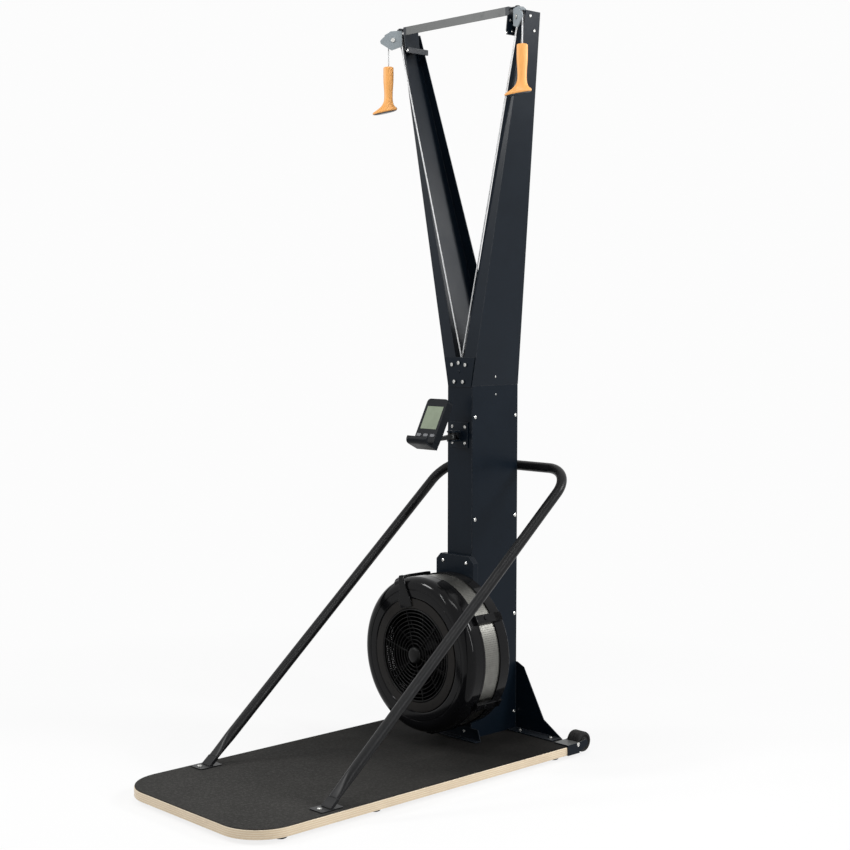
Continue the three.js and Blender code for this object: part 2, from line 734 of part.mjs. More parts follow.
// Cords: up from the drums past the guide pulleys to the swivel axes, and down from the heads to the handles
const guideGroove = guidePitch - cordRadius - seatGap / 2;
const guideCentreY = (index) => sheet + seatGap + runGap + guideHalf + index * (guideHalf * 2 + runGap);
const dropPlace = (sign) => new THREE.Vector3(0, -pulleyPitch * 2, 0).applyMatrix4(blockPlace(sign));
sides.forEach(([side, sign], index) => {
  const guideY = guideCentreY(index);
  const bend = Math.atan((pivotX + guidePitch) / (headPulleyZ - cordEntry - guideAxleZ));
  const drum = [-sign * (drumRadius + cordRadius + seatGap), drumPlaces[index], fanZ];
  const route = [
    drum,
    [-sign * guidePitch, guideY, guideAxleZ],
    [-sign * guidePitch * Math.cos(bend), guideY, guideAxleZ + guidePitch * Math.sin(bend)],
    [sign * pivotX, pivotY, headPulleyZ - cordEntry],
    [sign * pivotX, pivotY, headPulleyZ - cordRadius / 2],
  ];
  add(`cord_run_${side}`, tube(route, cordRadius, 8), finishes.cord);

  const drop = dropPlace(sign);
  const low = handleTopZ + seatGap;
  const hang = rod('z', cordRadius, low, headPulleyZ - seatGap, drop.x, drop.y, 8);
  add(`cord_drop_${side}`, hang, finishes.cord);

  const roller = turned([
    [axleRadius + seatGap, -guideHalf], [guideRim, -guideHalf], [guideGroove, -cordRadius],
    [guideGroove, cordRadius], [guideRim, guideHalf], [axleRadius + seatGap, guideHalf],
    [axleRadius + seatGap, -guideHalf],
  ], 0, guideAxleZ, smallSides).translate(0, guideY, 0);
  add(`guide_pulley_${side}`, roller, finishes.plastic);

  const spool = turned([
    [shaftRadius + seatGap, -drumHalf], [drumRadius + cordRadius, -drumHalf],
    [drumRadius, -drumHalf + cordRadius], [drumRadius, drumHalf - cordRadius],
    [drumRadius + cordRadius, drumHalf], [shaftRadius + seatGap, drumHalf],
    [shaftRadius + seatGap, -drumHalf],
  ], 0, fanZ, wheelSides).translate(0, drumPlaces[index], 0);
  add(`cord_drum_${side}`, spool, finishes.plastic);
});

// Handles: an oval grip that narrows at the waist and flares into a foot that points forward
sides.forEach(([side, sign], index) => {
  const count = 16;
  const footLow = handleLength - handleFootThick;
  const stations = [
    [0, 0, gripHalfLong * 0.72, gripHalfWide * 0.72, 0],
    [0.02, 0, gripHalfLong, gripHalfWide, 0],
    [0.3, 0, gripHalfLong, gripHalfWide, 0],
    [0.55, 0, waistHalfLong, waistHalfWide, 0],
    [0.74, 0.05, gripHalfLong * 0.95, gripHalfWide * 0.95, 0.05],
    [0.85, 0.35, gripHalfLong * 1.35, gripHalfWide * 1.15, 0.12],
    [footLow / handleLength, 0.8, handleFootLong * 0.86, handleFootWide * 0.88, 0.19],
    [0.94, 1, handleFootLong, handleFootWide, 0.19],
    [0.985, 1, handleFootLong, handleFootWide, 0.19],
    [1, 1, handleFootLong * 0.9, handleFootWide * 0.85, 0.19],
  ];
  const rings = stations.map(([down, shift, long, wide, tilt]) => Array.from({ length: count }, (_, i) => {
    const turn = (i / count) * Math.PI * 2;
    const ahead = long * Math.cos(turn);
    return [wide * Math.sin(turn), -ahead - shift * handleFootShift, -down * handleLength - tilt * ahead];
  }));
  const drop = dropPlace(sign);
  const yaw = THREE.MathUtils.degToRad(handleYawDeg[index]);
  const handle = loft(rings);
  handle.rotateZ(-yaw).translate(drop.x, drop.y, handleTopZ);
  add(`handle_${side}`, handle, finishes.orange);
});

// Handrail: one bent tube with two foot plates
{
  const run = 1 / Math.hypot(1, railSlopeShare);
  const railZ = (y) => railFootZ + railSlopeShare * (y - railFootY);
  const startY = railFootY + (railStartLift + onDeck - railFootZ) / railSlopeShare;
  const at = (x, y) => [x, y, railZ(y)];
  const bendY = railBackY - railBend * run;
  const half = [at(railHalfWidth, startY), at(railHalfWidth, bendY)];
  for (let k = 1; k <= bendSteps; k += 1) {
    const turn = (Math.PI / 2) * (k / bendSteps);
    half.push(at(
      railHalfWidth - railBend * (1 - Math.cos(turn)),
      bendY + railBend * run * Math.sin(turn),
    ));
  }
  const other = half.map(([x, y, z]) => [-x, y, z]).reverse();
  add('rail_tube', tube([...half, ...other], railRadius, smallSides), finishes.tube);

  // The tongue follows the tube's line from the foot plate up to the tube's square end.
  const rise = run * railSlopeShare;
  const tongueTop = (side) => [
    startY - seatGap * run - (side * rise * railTongueThick) / 2,
    railZ(startY) - seatGap * rise + (side * run * railTongueThick) / 2,
  ];
  const tongueFoot = (side) => {
    const [y, z] = tongueTop(side);
    const low = onDeck + railPlateThick / 2;
    return [y - (z - low) / railSlopeShare, low];
  };
  const tongue = slab([tongueFoot(-1), tongueTop(-1), tongueTop(1), tongueFoot(1)], 'x',
    railHalfWidth - railTongueHalf, railHalfWidth + railTongueHalf);
  const plate = box(
    railHalfWidth - railPlateHalf, railHalfWidth + railPlateHalf, -railPlateFront, -railPlateBack,
    onDeck, onDeck + railPlateThick,
  );
  const bolt = rod('z', boltHeadRadius, onDeck + railPlateThick / 2, onDeck + railPlateThick + boltHeadHeight,
    railHalfWidth, -railPlateFront + railPlateHalf * 0.6);
  sides.forEach(([side, sign]) => {
    add(`rail_foot_${side}`, sided(join(plate, tongue, bolt), sign), finishes.tube);
  });
}

// Rear brace and front base bracket
{
  const y0 = columnDepth + seatGap;
  const y1 = y0 + braceThick;
  const half = [[braceFootHalf, onDeck], [braceKneeHalf, braceKneeZ], [braceShoulderHalf, braceShoulderZ],
    [braceTopHalf, braceTopZ]];
  const plate = slab([...half, ...half.map(([x, z]) => [-x, z]).reverse()], 'y', y0, y1);
  const gap = columnHalfWidth + seatGap;
  const flange = box(gap, braceFootHalf - braceThick, y0 - braceFlange, y1 - braceThick / 2,
    onDeck, onDeck + braceThick);
  add('rear_brace', join(plate, flange, mirrored(flange)), finishes.frame);

  const front = slab(
    [[-frontBracketHalf, onDeck], [frontBracketHalf, onDeck],
      [frontBracketTopHalf, frontBracketTopZ], [-frontBracketTopHalf, frontBracketTopZ]],
    'y', -seatGap - braceThick, -seatGap,
  );
  const toe = box(-frontBracketHalf, frontBracketHalf, -frontBracketFlange, -seatGap - braceThick / 2,
    onDeck, onDeck + braceThick);
  add('front_bracket', join(front, toe), finishes.frame);
}

// Transport wheels in bent brackets at the deck's rear corners
{
  const outer0 = deckHalfWidth + seatGap;
  const outer1 = outer0 + bracketThick;
  const inner1 = wheelX - wheelHalf - runGap;
  const inner0 = inner1 - bracketThick;
  const tabFront = deckRear - bracketTabFront;
  const behind = deckRear + seatGap;
  const low = footHeight - seatGap;
  const ear = [[behind, low + bracketThick], [wheelY + wheelAxleRadius, wheelZ - wheelAxleRadius * 2],
    [wheelY + wheelAxleRadius * 2, wheelZ], [wheelY, wheelZ + wheelAxleRadius * 2],
    [behind, onDeck + bracketThick]];
  const outerSide = slab(
    [[tabFront, low], [behind, low], ...ear, [tabFront, onDeck + bracketThick]], 'x', outer0, outer1,
  );
  const innerSide = slab(
    [[behind, low], ...ear.slice(1), [behind, onDeck + bracketThick]], 'x', inner0, inner1,
  );
  const top = box(inner0, outer1, tabFront, behind + bracketThick, onDeck, onDeck + bracketThick);
  const back = box(inner0, outer1, behind, behind + bracketThick / 2, low, onDeck + bracketThick);
  const axle = rod('x', wheelAxleRadius, inner0, outer1, wheelY, wheelZ);
  const clear = rod('x', wheelRadius + runGap, inner1, outer0, wheelY, wheelZ, roundSides);
  const bracket = join(cut(join(top, back), clear), outerSide, innerSide, axle);
  const tyre = turned([
    [wheelAxleRadius + seatGap, -wheelHalf], [wheelRadius * 0.9, -wheelHalf], [wheelRadius, -wheelHalf * 0.8],
    [wheelRadius, wheelHalf * 0.8], [wheelRadius * 0.9, wheelHalf], [wheelAxleRadius + seatGap, wheelHalf],
    [wheelAxleRadius + seatGap, -wheelHalf],
  ], 0, 0, roundSides).rotateZ(Math.PI / 2).translate(wheelX, wheelY, wheelZ);
  sides.forEach(([side, sign]) => {
    add(`wheel_bracket_${side}`, sided(bracket, sign), finishes.frame);
    add(`wheel_${side}`, sided(tyre, sign), finishes.rubber);
  });
}

// Fan: mounting plate, rear shell with lugs, band, cover, grille, damper ring, wheel and shaft
{
  const half = [[mountFootHalf, mountFootZ], [mountShoulderHalf, mountWaistZ],
    [mountShoulderHalf, mountShoulderZ], [mountTopHalf, mountTopZ]];
  const outline = [...half, ...half.map(([x, z]) => [-x, z]).reverse()];
  const plate = slab(outline, 'y', shellBackY + seatGap, -seatGap);
  const bore = rod('y', shaftRadius + seatGap, -mountDepth - cutOverrun, cutOverrun, 0, fanZ);
  add('fan_mount', cut(plate, bore), finishes.plastic);

  const backInner = shellBackY - shellWall;
  const shell = turned([
    [shaftRadius + boltRadius, shellBackY], [shellRadius, shellBackY], [shellRadius, shellFrontY],
    [shellRadius - shellWall, shellFrontY], [shellRadius - shellWall, backInner],
    [shaftRadius + boltRadius, backInner], [shaftRadius + boltRadius, shellBackY],
  ], 0, fanZ, drumSides);
  const lugs = lugPlacesDeg.map((degrees) => {
    const turn = THREE.MathUtils.degToRad(degrees);
    return box(
      shellRadius - shellWall / 2, shellRadius + lugReach, shellFrontY, shellFrontY / 2, -lugHalf, lugHalf,
    )
      .rotateY(-turn).translate(0, 0, fanZ);
  });
  const bridges = lugPlacesDeg.map((degrees) => {
    const turn = THREE.MathUtils.degToRad(degrees);
    return box(
      shellRadius + seatGap * 2, shellRadius + lugReach, bandFrontY - lugHalf, shellFrontY / 2,
      -lugHalf, lugHalf,
    )
      .rotateY(-turn).translate(0, 0, fanZ);
  });
  add('fan_shell', join(shell, ...lugs, ...bridges), finishes.shell);

  const bandRadius = shellRadius - shellWall - seatGap;
  const band = ringProfile(bandRadius - bandWall, bandRadius, bandFrontY - bandTuck, shellFrontY + bandTuck);
  add('fan_band', turned(band, 0, fanZ, drumSides), finishes.band);

  const faceInner = coverFrontY + shellWall;
  const cover = turned([
    [shellRadius, bandFrontY], [shellRadius, coverShoulderY],
    ...shoulderShares.map(([inShare, outShare]) => [
      shellRadius - coverFaceInset * inShare, coverShoulderY - (coverShoulderY - coverFrontY) * outShare,
    ]),
    [coverFaceRadius, coverFrontY], [coverOpening, coverFrontY], [coverOpening, faceInner],
    [coverFaceRadius - shellWall, faceInner], [shellRadius - shellWall, coverShoulderY],
    [shellRadius - shellWall, bandFrontY], [shellRadius, bandFrontY],
  ], 0, fanZ, drumSides);
  const ledge = turned(
    ringProfile(damperInner - runGap, coverOpening + shellWall, faceInner, faceInner + shellWall),
    0, fanZ, drumSides,
  );
  add('fan_cover', join(cover, ledge), finishes.shell);

  const ringOuter = coverOpening - runGap;
  const leverTurn = THREE.MathUtils.degToRad(damperLeverDeg);
  const damperRing = turned(
    ringProfile(damperInner, ringOuter, faceInner - seatGap - damperThick, faceInner - seatGap),
    0, fanZ, drumSides,
  );
  const lever = box(damperInner, damperLeverReach, coverFrontY - seatGap - damperThick * 2,
    coverFrontY - seatGap, -damperLeverHalf, damperLeverHalf).rotateY(-leverTurn).translate(0, 0, fanZ);
  const leverFoot = box(damperInner, ringOuter, coverFrontY - seatGap - damperThick, faceInner - seatGap,
    -damperLeverHalf, damperLeverHalf).rotateY(-leverTurn).translate(0, 0, fanZ);
  const within = turned(
    ringProfile(damperInner, ringOuter, coverFrontY - damperThick * 3, faceInner - seatGap),
    0, fanZ, drumSides,
  );
  add('fan_damper', join(damperRing, lever, common(leverFoot, within)), finishes.shell);

  const grilleBack = coverFrontY + grilleDepth;
  const rings = Array.from({ length: grilleRings }, (_, i) => {
    const radius = hubCapRadius + ((grilleRadius - hubCapRadius) * (i + 1)) / grilleRings;
    return turned(ringProfile(radius - grilleWire, radius, coverFrontY, grilleBack), 0, fanZ, roundSides);
  });
  const grilleInner = grilleRadius - grilleWire;
  const seatBack = faceInner + shellWall * 2;
  const rimFoot = turned(
    ringProfile(grilleInner, grilleRadius, coverFrontY, seatBack), 0, fanZ, roundSides,
  );
  const seat = turned(
    ringProfile(grilleInner, damperInner + grilleWire, faceInner + shellWall + seatGap, seatBack),
    0, fanZ, roundSides,
  );
  const spokes = Array.from({ length: grilleSpokes }, (_, i) => {
    const turn = THREE.MathUtils.degToRad(spokeStartDeg + (360 / grilleSpokes) * i);
    return box(hubCapRadius / 2, grilleRadius - grilleWire / 2, coverFrontY + grilleDepth / 2,
      grilleBack + grilleDepth / 2, -grilleWire / 2, grilleWire / 2).rotateY(-turn).translate(0, 0, fanZ);
  });
  const cap = turned([[0, coverFrontY - hubCapDepth], [hubCapRadius * 0.7, coverFrontY - hubCapDepth],
    [hubCapRadius, coverFrontY], [hubCapRadius, grilleBack], [0, grilleBack]], 0, fanZ, wheelSides);
  add('fan_grille', join(cap, ...rings, rimFoot, seat, ...spokes), finishes.plastic);

  const shaft = rod('y', shaftRadius, rotorFrontY, shaftBackY, 0, fanZ);
  const hub = rod('y', rotorHub, rotorFrontY / 2 + rotorBackY / 2, rotorBackY, 0, fanZ);
  const disc = rod('y', rotorRadius, rotorBackY - rotorBladeThick, rotorBackY, 0, fanZ, roundSides);
  const blades = Array.from({ length: rotorBlades }, (_, i) => {
    const turn = ((Math.PI * 2) / rotorBlades) * i;
    return box(
      rotorHub * 2, rotorRadius - rotorBladeInset, rotorFrontY, rotorBackY,
      -rotorBladeThick / 2, rotorBladeThick / 2,
    )
      .rotateY(turn).translate(0, 0, fanZ);
  });
  add('fan_wheel', join(shaft, hub, disc, ...blades), finishes.rotor);

  const carrierHalf = columnHalfWidth - sheet - seatGap;
  const carrier = box(-carrierHalf, carrierHalf, carrierY, carrierY + carrierThick,
    fanZ - carrierHalfHeight, fanZ + carrierHalfHeight);
  const carrierBore = rod(
    'y', shaftRadius + seatGap, carrierY - cutOverrun, carrierY + carrierThick + cutOverrun, 0, fanZ,
  );
  add('shaft_carrier', cut(carrier, carrierBore), finishes.frame);
}

// Console: plate and clevis on the column, swivel arm, tilting housing with display, buttons and device ledge
{
  const plateY = -seatGap - consolePlateThick;
  const plate = box(
    -consolePlateHalf, consolePlateHalf, plateY, -seatGap, consolePlateLowZ, consolePlateTopZ,
  );
  const earBox = (z0, z1) => box(
    knobX - knobRadius, knobX + knobRadius, knobY, -seatGap - consolePlateThick / 2, z0, z1,
  );
  const earDisc = (z0, z1) => rod('z', knobRadius, z0, z1, knobX, knobY);
  const upper = [knobZ + knobHalfHeight, knobZ + knobHalfHeight + clevisThick];
  const lower = [knobZ - knobHalfHeight - clevisThick, knobZ - knobHalfHeight];
  const pinReach = knobHalfHeight + clevisThick / 2;
  const pin = rod('z', boltRadius, knobZ - pinReach, knobZ + pinReach, knobX, knobY);
  const clevisEars = [upper, lower].flatMap((span) => [earBox(...span), earDisc(...span)]);
  add('console_plate', join(plate, ...clevisEars, pin), finishes.frame);

  // The housing's own frame: u to the right, v up its face, w out of its face.
  const lean = Math.atan(consoleSlopeShare);
  const place = new THREE.Matrix4().makeTranslation(0, consoleTopY, consoleTopZ)
    .multiply(new THREE.Matrix4().makeRotationX(Math.PI / 2 - lean));
  const tiltV = -((consoleTopZ - knobZ) / Math.cos(lean)) + knobHalfHeight;
  const tiltW = -consoleThick - tiltBack;
  const block = (u0, u1, v0, v1, w0, w1) => box(u0, u1, v0, v1, w0, w1);
  const faceOutline = (half, top, low, radius) => rounded([
    [-half, low, radius], [half, low, radius], [half, top, radius], [-half, top, radius],
  ]);
  const body = slab(faceOutline(consoleHalfWidth, 0, -consoleHeight, consoleCorner), 'z', -consoleThick, 0);
  const hump = slab(faceOutline(consoleHumpHalf, -consoleHeight / 2 + consoleHumpHeight / 2,
    -consoleHeight / 2 - consoleHumpHeight / 2, consoleCorner / 2), 'z', -consoleThick - consoleHumpThick,
  -consoleThick / 2);
  const ledgeLow = -consoleHeight - ledgeHeight / 2;
  const ledgeFloor = ledgeLow + ledgeWall;
  const lipTop = ledgeFloor + ledgeLip;
  const ledge = slab(rounded([
    [ledgeLow, -consoleThick], [ledgeLow, ledgeDepth, ledgeBend], [lipTop, ledgeDepth],
    [lipTop, ledgeDepth - ledgeWall], [ledgeFloor, ledgeDepth - ledgeWall, ledgeBend - ledgeWall],
    [ledgeFloor, 0], [ledgeLow + ledgeHeight, 0], [ledgeLow + ledgeHeight, -consoleThick],
  ]), 'x', -ledgeHalfWidth, ledgeHalfWidth);
  const screenTop = -screenDrop;
  const screenLow = screenTop - screenHeight;
  const recess = block(
    -screenHalfWidth - seatGap, screenHalfWidth + seatGap, screenLow - seatGap, screenTop + seatGap,
    -screenThick - seatGap, cutOverrun,
  );
  const buttonU = (i) => (i - 1) * buttonPitch;
  const pockets = [0, 1, 2].map((i) => block(
    buttonU(i) - buttonHalfWidth - runGap, buttonU(i) + buttonHalfWidth + runGap,
    -buttonDrop - buttonHalfHeight - runGap, -buttonDrop + buttonHalfHeight + runGap,
    -buttonThick - buttonProud, cutOverrun,
  ));
  const earIn = neckHalf + runGap;
  const ears = [-1, 1].map((sign) => {
    const u = [sign * earIn, sign * (earIn + tiltEar)].sort((a, b) => a - b);
    const foot = block(...u, tiltV - tiltRadius, tiltV + tiltRadius, tiltW, -consoleThick);
    const round = slab(circle(tiltRadius, smallSides, tiltV, tiltW), 'x', ...u);
    return join(foot, round);
  });
  const pinHalf = earIn + tiltEar / 2;
  const tiltPin = slab(circle(boltRadius, smallSides, tiltV, tiltW), 'x', -pinHalf, pinHalf);
  const shell = cut(join(body, ledge), recess, ...pockets);
  const slot = block(-earIn, earIn, -consoleHeight, 0, tiltW - tiltRadius, -consoleThick - seatGap);
  const humpCut = cut(hump, slot);
  const housing = join(shell, humpCut, ...ears, tiltPin);
  add('console_housing', housing.applyMatrix4(place), finishes.plastic);

  const screen = block(-screenHalfWidth, screenHalfWidth, screenLow, screenTop, -screenThick, 0);
  add('console_screen', screen.applyMatrix4(place), finishes.screen);
  [0, 1, 2].forEach((i) => {
    const outline = rounded([
      [buttonU(i) - buttonHalfWidth, -buttonDrop - buttonHalfHeight, buttonHalfHeight / 2],
      [buttonU(i) + buttonHalfWidth, -buttonDrop - buttonHalfHeight, buttonHalfHeight / 2],
      [buttonU(i) + buttonHalfWidth, -buttonDrop + buttonHalfHeight, buttonHalfHeight / 2],
      [buttonU(i) - buttonHalfWidth, -buttonDrop + buttonHalfHeight, buttonHalfHeight / 2],
    ], 3);
    const button = slab(outline, 'z', buttonProud - buttonThick, buttonProud);
    add(`console_button_${i + 1}`, button.applyMatrix4(place), finishes.button);
  });

  // Swivel arm: a barrel round the clevis pin, a neck and an eye round the tilt pin.
  const eye = new THREE.Vector3(0, tiltV, tiltW).applyMatrix4(place);
  const barrelHalf = knobHalfHeight - seatGap;
  const barrel = rod('z', knobRadius - clevisThick / 2, knobZ - barrelHalf, knobZ + barrelHalf, knobX, knobY);
  const eyeRod = rod('x', tiltRadius - runGap * 4, -neckHalf, neckHalf, eye.y, eye.z);
  const neck = slab([
    [eye.y, eye.z - tiltRadius / 2], [eye.y, eye.z + tiltRadius / 2],
    [knobY, knobZ + barrelHalf * 0.7], [knobY, knobZ - barrelHalf * 0.7],
  ], 'x', -neckHalf, knobX + neckHalf * 1.5);
  const pinClear = rod(
    'z', boltRadius + seatGap, knobZ - knobHalfHeight * 2, knobZ + knobHalfHeight * 2, knobX, knobY,
  );
  const eyeClear = rod('x', boltRadius + seatGap, -consoleHalfWidth, consoleHalfWidth, eye.y, eye.z);
  add('console_arm', cut(join(barrel, eyeRod, neck), pinClear, eyeClear), finishes.frame);
}

const skiTrainer = new THREE.Group();
skiTrainer.add(machine);

export default skiTrainer;
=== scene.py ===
"""Ski trainer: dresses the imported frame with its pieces, finishes, floor, lamps and camera."""

import math

import bmesh
import bpy
from bpy.props import FloatProperty, FloatVectorProperty, IntProperty, PointerProperty
from mathutils import Matrix, Vector


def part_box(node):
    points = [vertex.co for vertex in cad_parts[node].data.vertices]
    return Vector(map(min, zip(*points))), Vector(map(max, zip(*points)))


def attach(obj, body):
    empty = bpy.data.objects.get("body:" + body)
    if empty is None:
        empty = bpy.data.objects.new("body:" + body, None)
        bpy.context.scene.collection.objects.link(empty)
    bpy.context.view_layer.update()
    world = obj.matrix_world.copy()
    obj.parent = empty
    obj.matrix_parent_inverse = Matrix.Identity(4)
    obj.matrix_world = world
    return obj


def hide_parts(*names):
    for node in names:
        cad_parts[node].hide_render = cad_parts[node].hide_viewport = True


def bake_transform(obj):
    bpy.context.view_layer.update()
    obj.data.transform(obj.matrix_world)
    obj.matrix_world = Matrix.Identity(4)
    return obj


bl_info = {
    "name": "Ski Trainer",
    "version": (1, 0, 0),
    "blender": (4, 5, 0),
    "location": "View3D > Sidebar > Ski Trainer",
    "description": "Dresses a ski trainer's frame with its pieces, finishes and studio",
    "category": "Object",
}

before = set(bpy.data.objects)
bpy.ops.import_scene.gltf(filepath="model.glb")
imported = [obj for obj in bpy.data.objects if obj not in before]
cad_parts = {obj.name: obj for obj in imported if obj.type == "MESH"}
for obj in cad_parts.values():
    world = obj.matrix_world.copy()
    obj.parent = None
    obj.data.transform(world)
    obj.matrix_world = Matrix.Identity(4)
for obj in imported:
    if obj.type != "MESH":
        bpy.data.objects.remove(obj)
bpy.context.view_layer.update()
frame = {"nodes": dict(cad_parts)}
SIDES = (("left", -1), ("right", 1))


def low(node):
    """Lowest corner of a CAD node's box."""
    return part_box(node)[0]


def high(node):
    """Highest corner of a CAD node's box."""
    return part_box(node)[1]


def middle(node):
    """Middle of a CAD node's box."""
    return (low(node) + high(node)) / 2


MM = 0.001

# Places read from the frame
FRONT_Y = low("column_front").y
COLUMN_HALF = high("column_front").x
COLUMN_TOP = high("column_front").z
DECK_TOP = high("deck_mat").z
FAN = Vector((0.0, FRONT_Y, middle("fan_cover").z))
FAN_RADIUS = high("fan_cover").x
ARM_TOP = high("arm_right").z

# Heights in millimetres
HEAD_Z = middle("head_pulley_left").z / MM
HANDLE_TOP = high("handle_left").z / MM

# How far a pulley block is turned out, and the cord's radius round its pulley in millimetres
BLOCK_YAW = math.radians(63.3)
PULLEY_PITCH = 19.6

# Directions that fasteners face
FORWARD = (0, -1, 0)
UPWARD = (0, 0, 1)

# Shapes that the pieces share
FOLD_ANGLE = math.radians(31)
SMOOTH_ANGLE = math.radians(42)
FINE_TURN = 96


class SheetMetalSizes(bpy.types.PropertyGroup):
    """Edge and fastener sizes of the frame."""

    edge: FloatProperty(
        name="Cut edge", description="Rounding of a cut sheet edge", default=0.0006, unit="LENGTH"
    )
    fold: FloatProperty(
        name="Fold radius", description="Rounding along a folded corner",
        default=0.0034, unit="LENGTH",
    )
    screw_radius: FloatProperty(
        name="Screw head", description="Radius of a panel screw's head",
        default=0.0052, unit="LENGTH",
    )


class DeckSizes(bpy.types.PropertyGroup):
    """Corner and edge sizes of the deck."""

    front_corner: FloatProperty(
        name="Front corner", description="Radius of the two front corners",
        default=0.118, unit="LENGTH",
    )
    rear_corner: FloatProperty(
        name="Rear corner", description="Radius of the two rear corners",
        default=0.018, unit="LENGTH",
    )
    board_edge: FloatProperty(
        name="Board edge", description="Rounding of the plywood's edge",
        default=0.0022, unit="LENGTH",
    )


class RailSizes(bpy.types.PropertyGroup):
    """Sizes of the bent handrail tube."""

    radius: FloatProperty(
        name="Tube radius", description="Half the tube's diameter", default=0.015, unit="LENGTH"
    )
    bend: FloatProperty(
        name="Bend radius", description="Radius of the two bends", default=0.097, unit="LENGTH"
    )
    slope: FloatProperty(
        name="Slope", description="Rise of the tube for one unit of run", default=0.85
    )


class CordSizes(bpy.types.PropertyGroup):
    """Sizes of the drive cords."""

    radius: FloatProperty(
        name="Cord radius", description="Half the cord's diameter", default=0.0020, unit="LENGTH"
    )
    lay: FloatProperty(
        name="Braid repeat", description="Length of one repeat of the braid",
        default=0.0055, unit="LENGTH",
    )


class FanSizes(bpy.types.PropertyGroup):
    """Sizes of the fan housing's visible pieces."""

    grille_rings: IntProperty(
        name="Grille rings", description="Rings between the cap and the grille's rim", default=10
    )
    grille_spokes: IntProperty(
        name="Grille spokes", description="Spokes in front of the rings", default=6
    )
    hole_pitch: FloatProperty(
        name="Hole pitch", description="Spacing of the band's holes", default=0.0062, unit="LENGTH"
    )


class StudioSettings(bpy.types.PropertyGroup):
    """Camera and lamps."""

    lens: FloatProperty(name="Lens", description="Focal length in millimetres", default=65.8)
    azimuth: FloatProperty(
        name="Azimuth", description="Turn of the camera round the object",
        default=math.radians(46.49), subtype="ANGLE",
    )
    pitch: FloatProperty(
        name="Pitch", description="How far the camera looks down",
        default=math.radians(3.88), subtype="ANGLE",
    )
    roll: FloatProperty(
        name="Roll", description="Turn about the line of sight",
        default=math.radians(0.081), subtype="ANGLE",
    )
    place: FloatVectorProperty(
        name="Camera place", description="Where the camera stands",
        default=(3.2672, -2.8719, 1.2904), subtype="TRANSLATION",
    )
    sky: FloatProperty(name="Sky", description="Strength of the surrounding light", default=0.30)
    backdrop: FloatProperty(
        name="Backdrop", description="How white the background looks", default=0.975
    )


class FinishColours(bpy.types.PropertyGroup):
    """Colours a user would change."""

    frame: FloatVectorProperty(
        name="Frame paint", description="Powder coat of the column, arms and brackets",
        default=(0.0036, 0.0070, 0.0118), subtype="COLOR",
    )
    rail: FloatVectorProperty(
        name="Rail paint", description="Powder coat of the handrail",
        default=(0.0060, 0.0062, 0.0068), subtype="COLOR",
    )
    grip: FloatVectorProperty(
        name="Grip", description="Moulded pull handles",
        default=(0.80, 0.375, 0.105), subtype="COLOR",
    )
    ply: FloatVectorProperty(
        name="Plywood", description="The board's edge veneers",
        default=(0.92, 0.78, 0.59), subtype="COLOR",
    )
    mat: FloatVectorProperty(
        name="Mat", description="Rubber surface of the deck",
        default=(0.0115, 0.0113, 0.0109), subtype="COLOR",
    )
    shell: FloatVectorProperty(
        name="Fan shell", description="Glossy plastic of the fan housing",
        default=(0.0035, 0.0036, 0.0042), subtype="COLOR",
    )


SETTINGS = {
    "trainer_sheet": SheetMetalSizes,
    "trainer_deck": DeckSizes,
    "trainer_rail": RailSizes,
    "trainer_cord": CordSizes,
    "trainer_fan": FanSizes,
    "trainer_studio": StudioSettings,
    "trainer_colours": FinishColours,
}


# Working on one piece at a time


def nothing_selected():
    """Leaves edit mode and deselects every object."""
    if bpy.context.object and bpy.context.object.mode != "OBJECT":
        bpy.ops.object.mode_set(mode="OBJECT")
    bpy.ops.object.select_all(action="DESELECT")


def only(piece):
    """Makes one piece selected and active."""
    nothing_selected()
    piece.select_set(True)
    bpy.context.view_layer.objects.active = piece


class Editing:
    """Edit mode on one piece, left again at the end."""

    def __init__(self, piece):
        self.piece = piece

    def __enter__(self):
        only(self.piece)
        bpy.ops.object.mode_set(mode="EDIT")
        bpy.ops.mesh.select_all(action="DESELECT")
        return self

    def __exit__(self, *problem):
        bpy.ops.object.mode_set(mode="OBJECT")

    def pick(self, kind, test):
        """Selects the faces, edges or vertices that pass a test on their middle and normal."""
        bpy.ops.mesh.select_mode(type=kind)
        bpy.ops.mesh.select_all(action="DESELECT")
        mesh = bmesh.from_edit_mesh(self.piece.data)
        for part in {"FACE": mesh.faces, "EDGE": mesh.edges, "VERT": mesh.verts}[kind]:
            part.select_set(bool(test(part)))
        bmesh.update_edit_mesh(self.piece.data)

    def all(self):
        """Selects everything."""
        bpy.ops.mesh.select_mode(type="VERT")
        bpy.ops.mesh.select_all(action="SELECT")


def centre_of(part):
    """The middle of a face, or of an edge's ends."""
    if isinstance(part, bmesh.types.BMFace):
        return part.calc_center_median()
    return sum((v.co for v in part.verts), Vector()) / len(part.verts)


def added(name, operator, **values):
    """Adds a primitive and names it."""
    nothing_selected()
    operator(**values)
    piece = bpy.context.object
    piece.name = name
    piece.data.name = name
    return piece


def settled(piece):
    """Moves the object's place into its mesh."""
    only(piece)
    bpy.ops.object.transform_apply(location=True, rotation=True, scale=True)
    return piece


def finished_by(piece, kind, **values):
    """Adds a modifier and applies it."""
    only(piece)
    step = piece.modifiers.new(kind.lower(), kind)
    for key, value in values.items():
        setattr(step, key, value)
    bpy.ops.object.modifier_apply(modifier=step.name)
    return piece


def rounded(piece, width, segments=2):
    """Rounds every edge that is sharper than a fold."""
    return finished_by(
        piece, "BEVEL", width=width, segments=segments, limit_method="ANGLE",
        angle_limit=FOLD_ANGLE, use_clamp_overlap=True, miter_outer="MITER_ARC",
    )


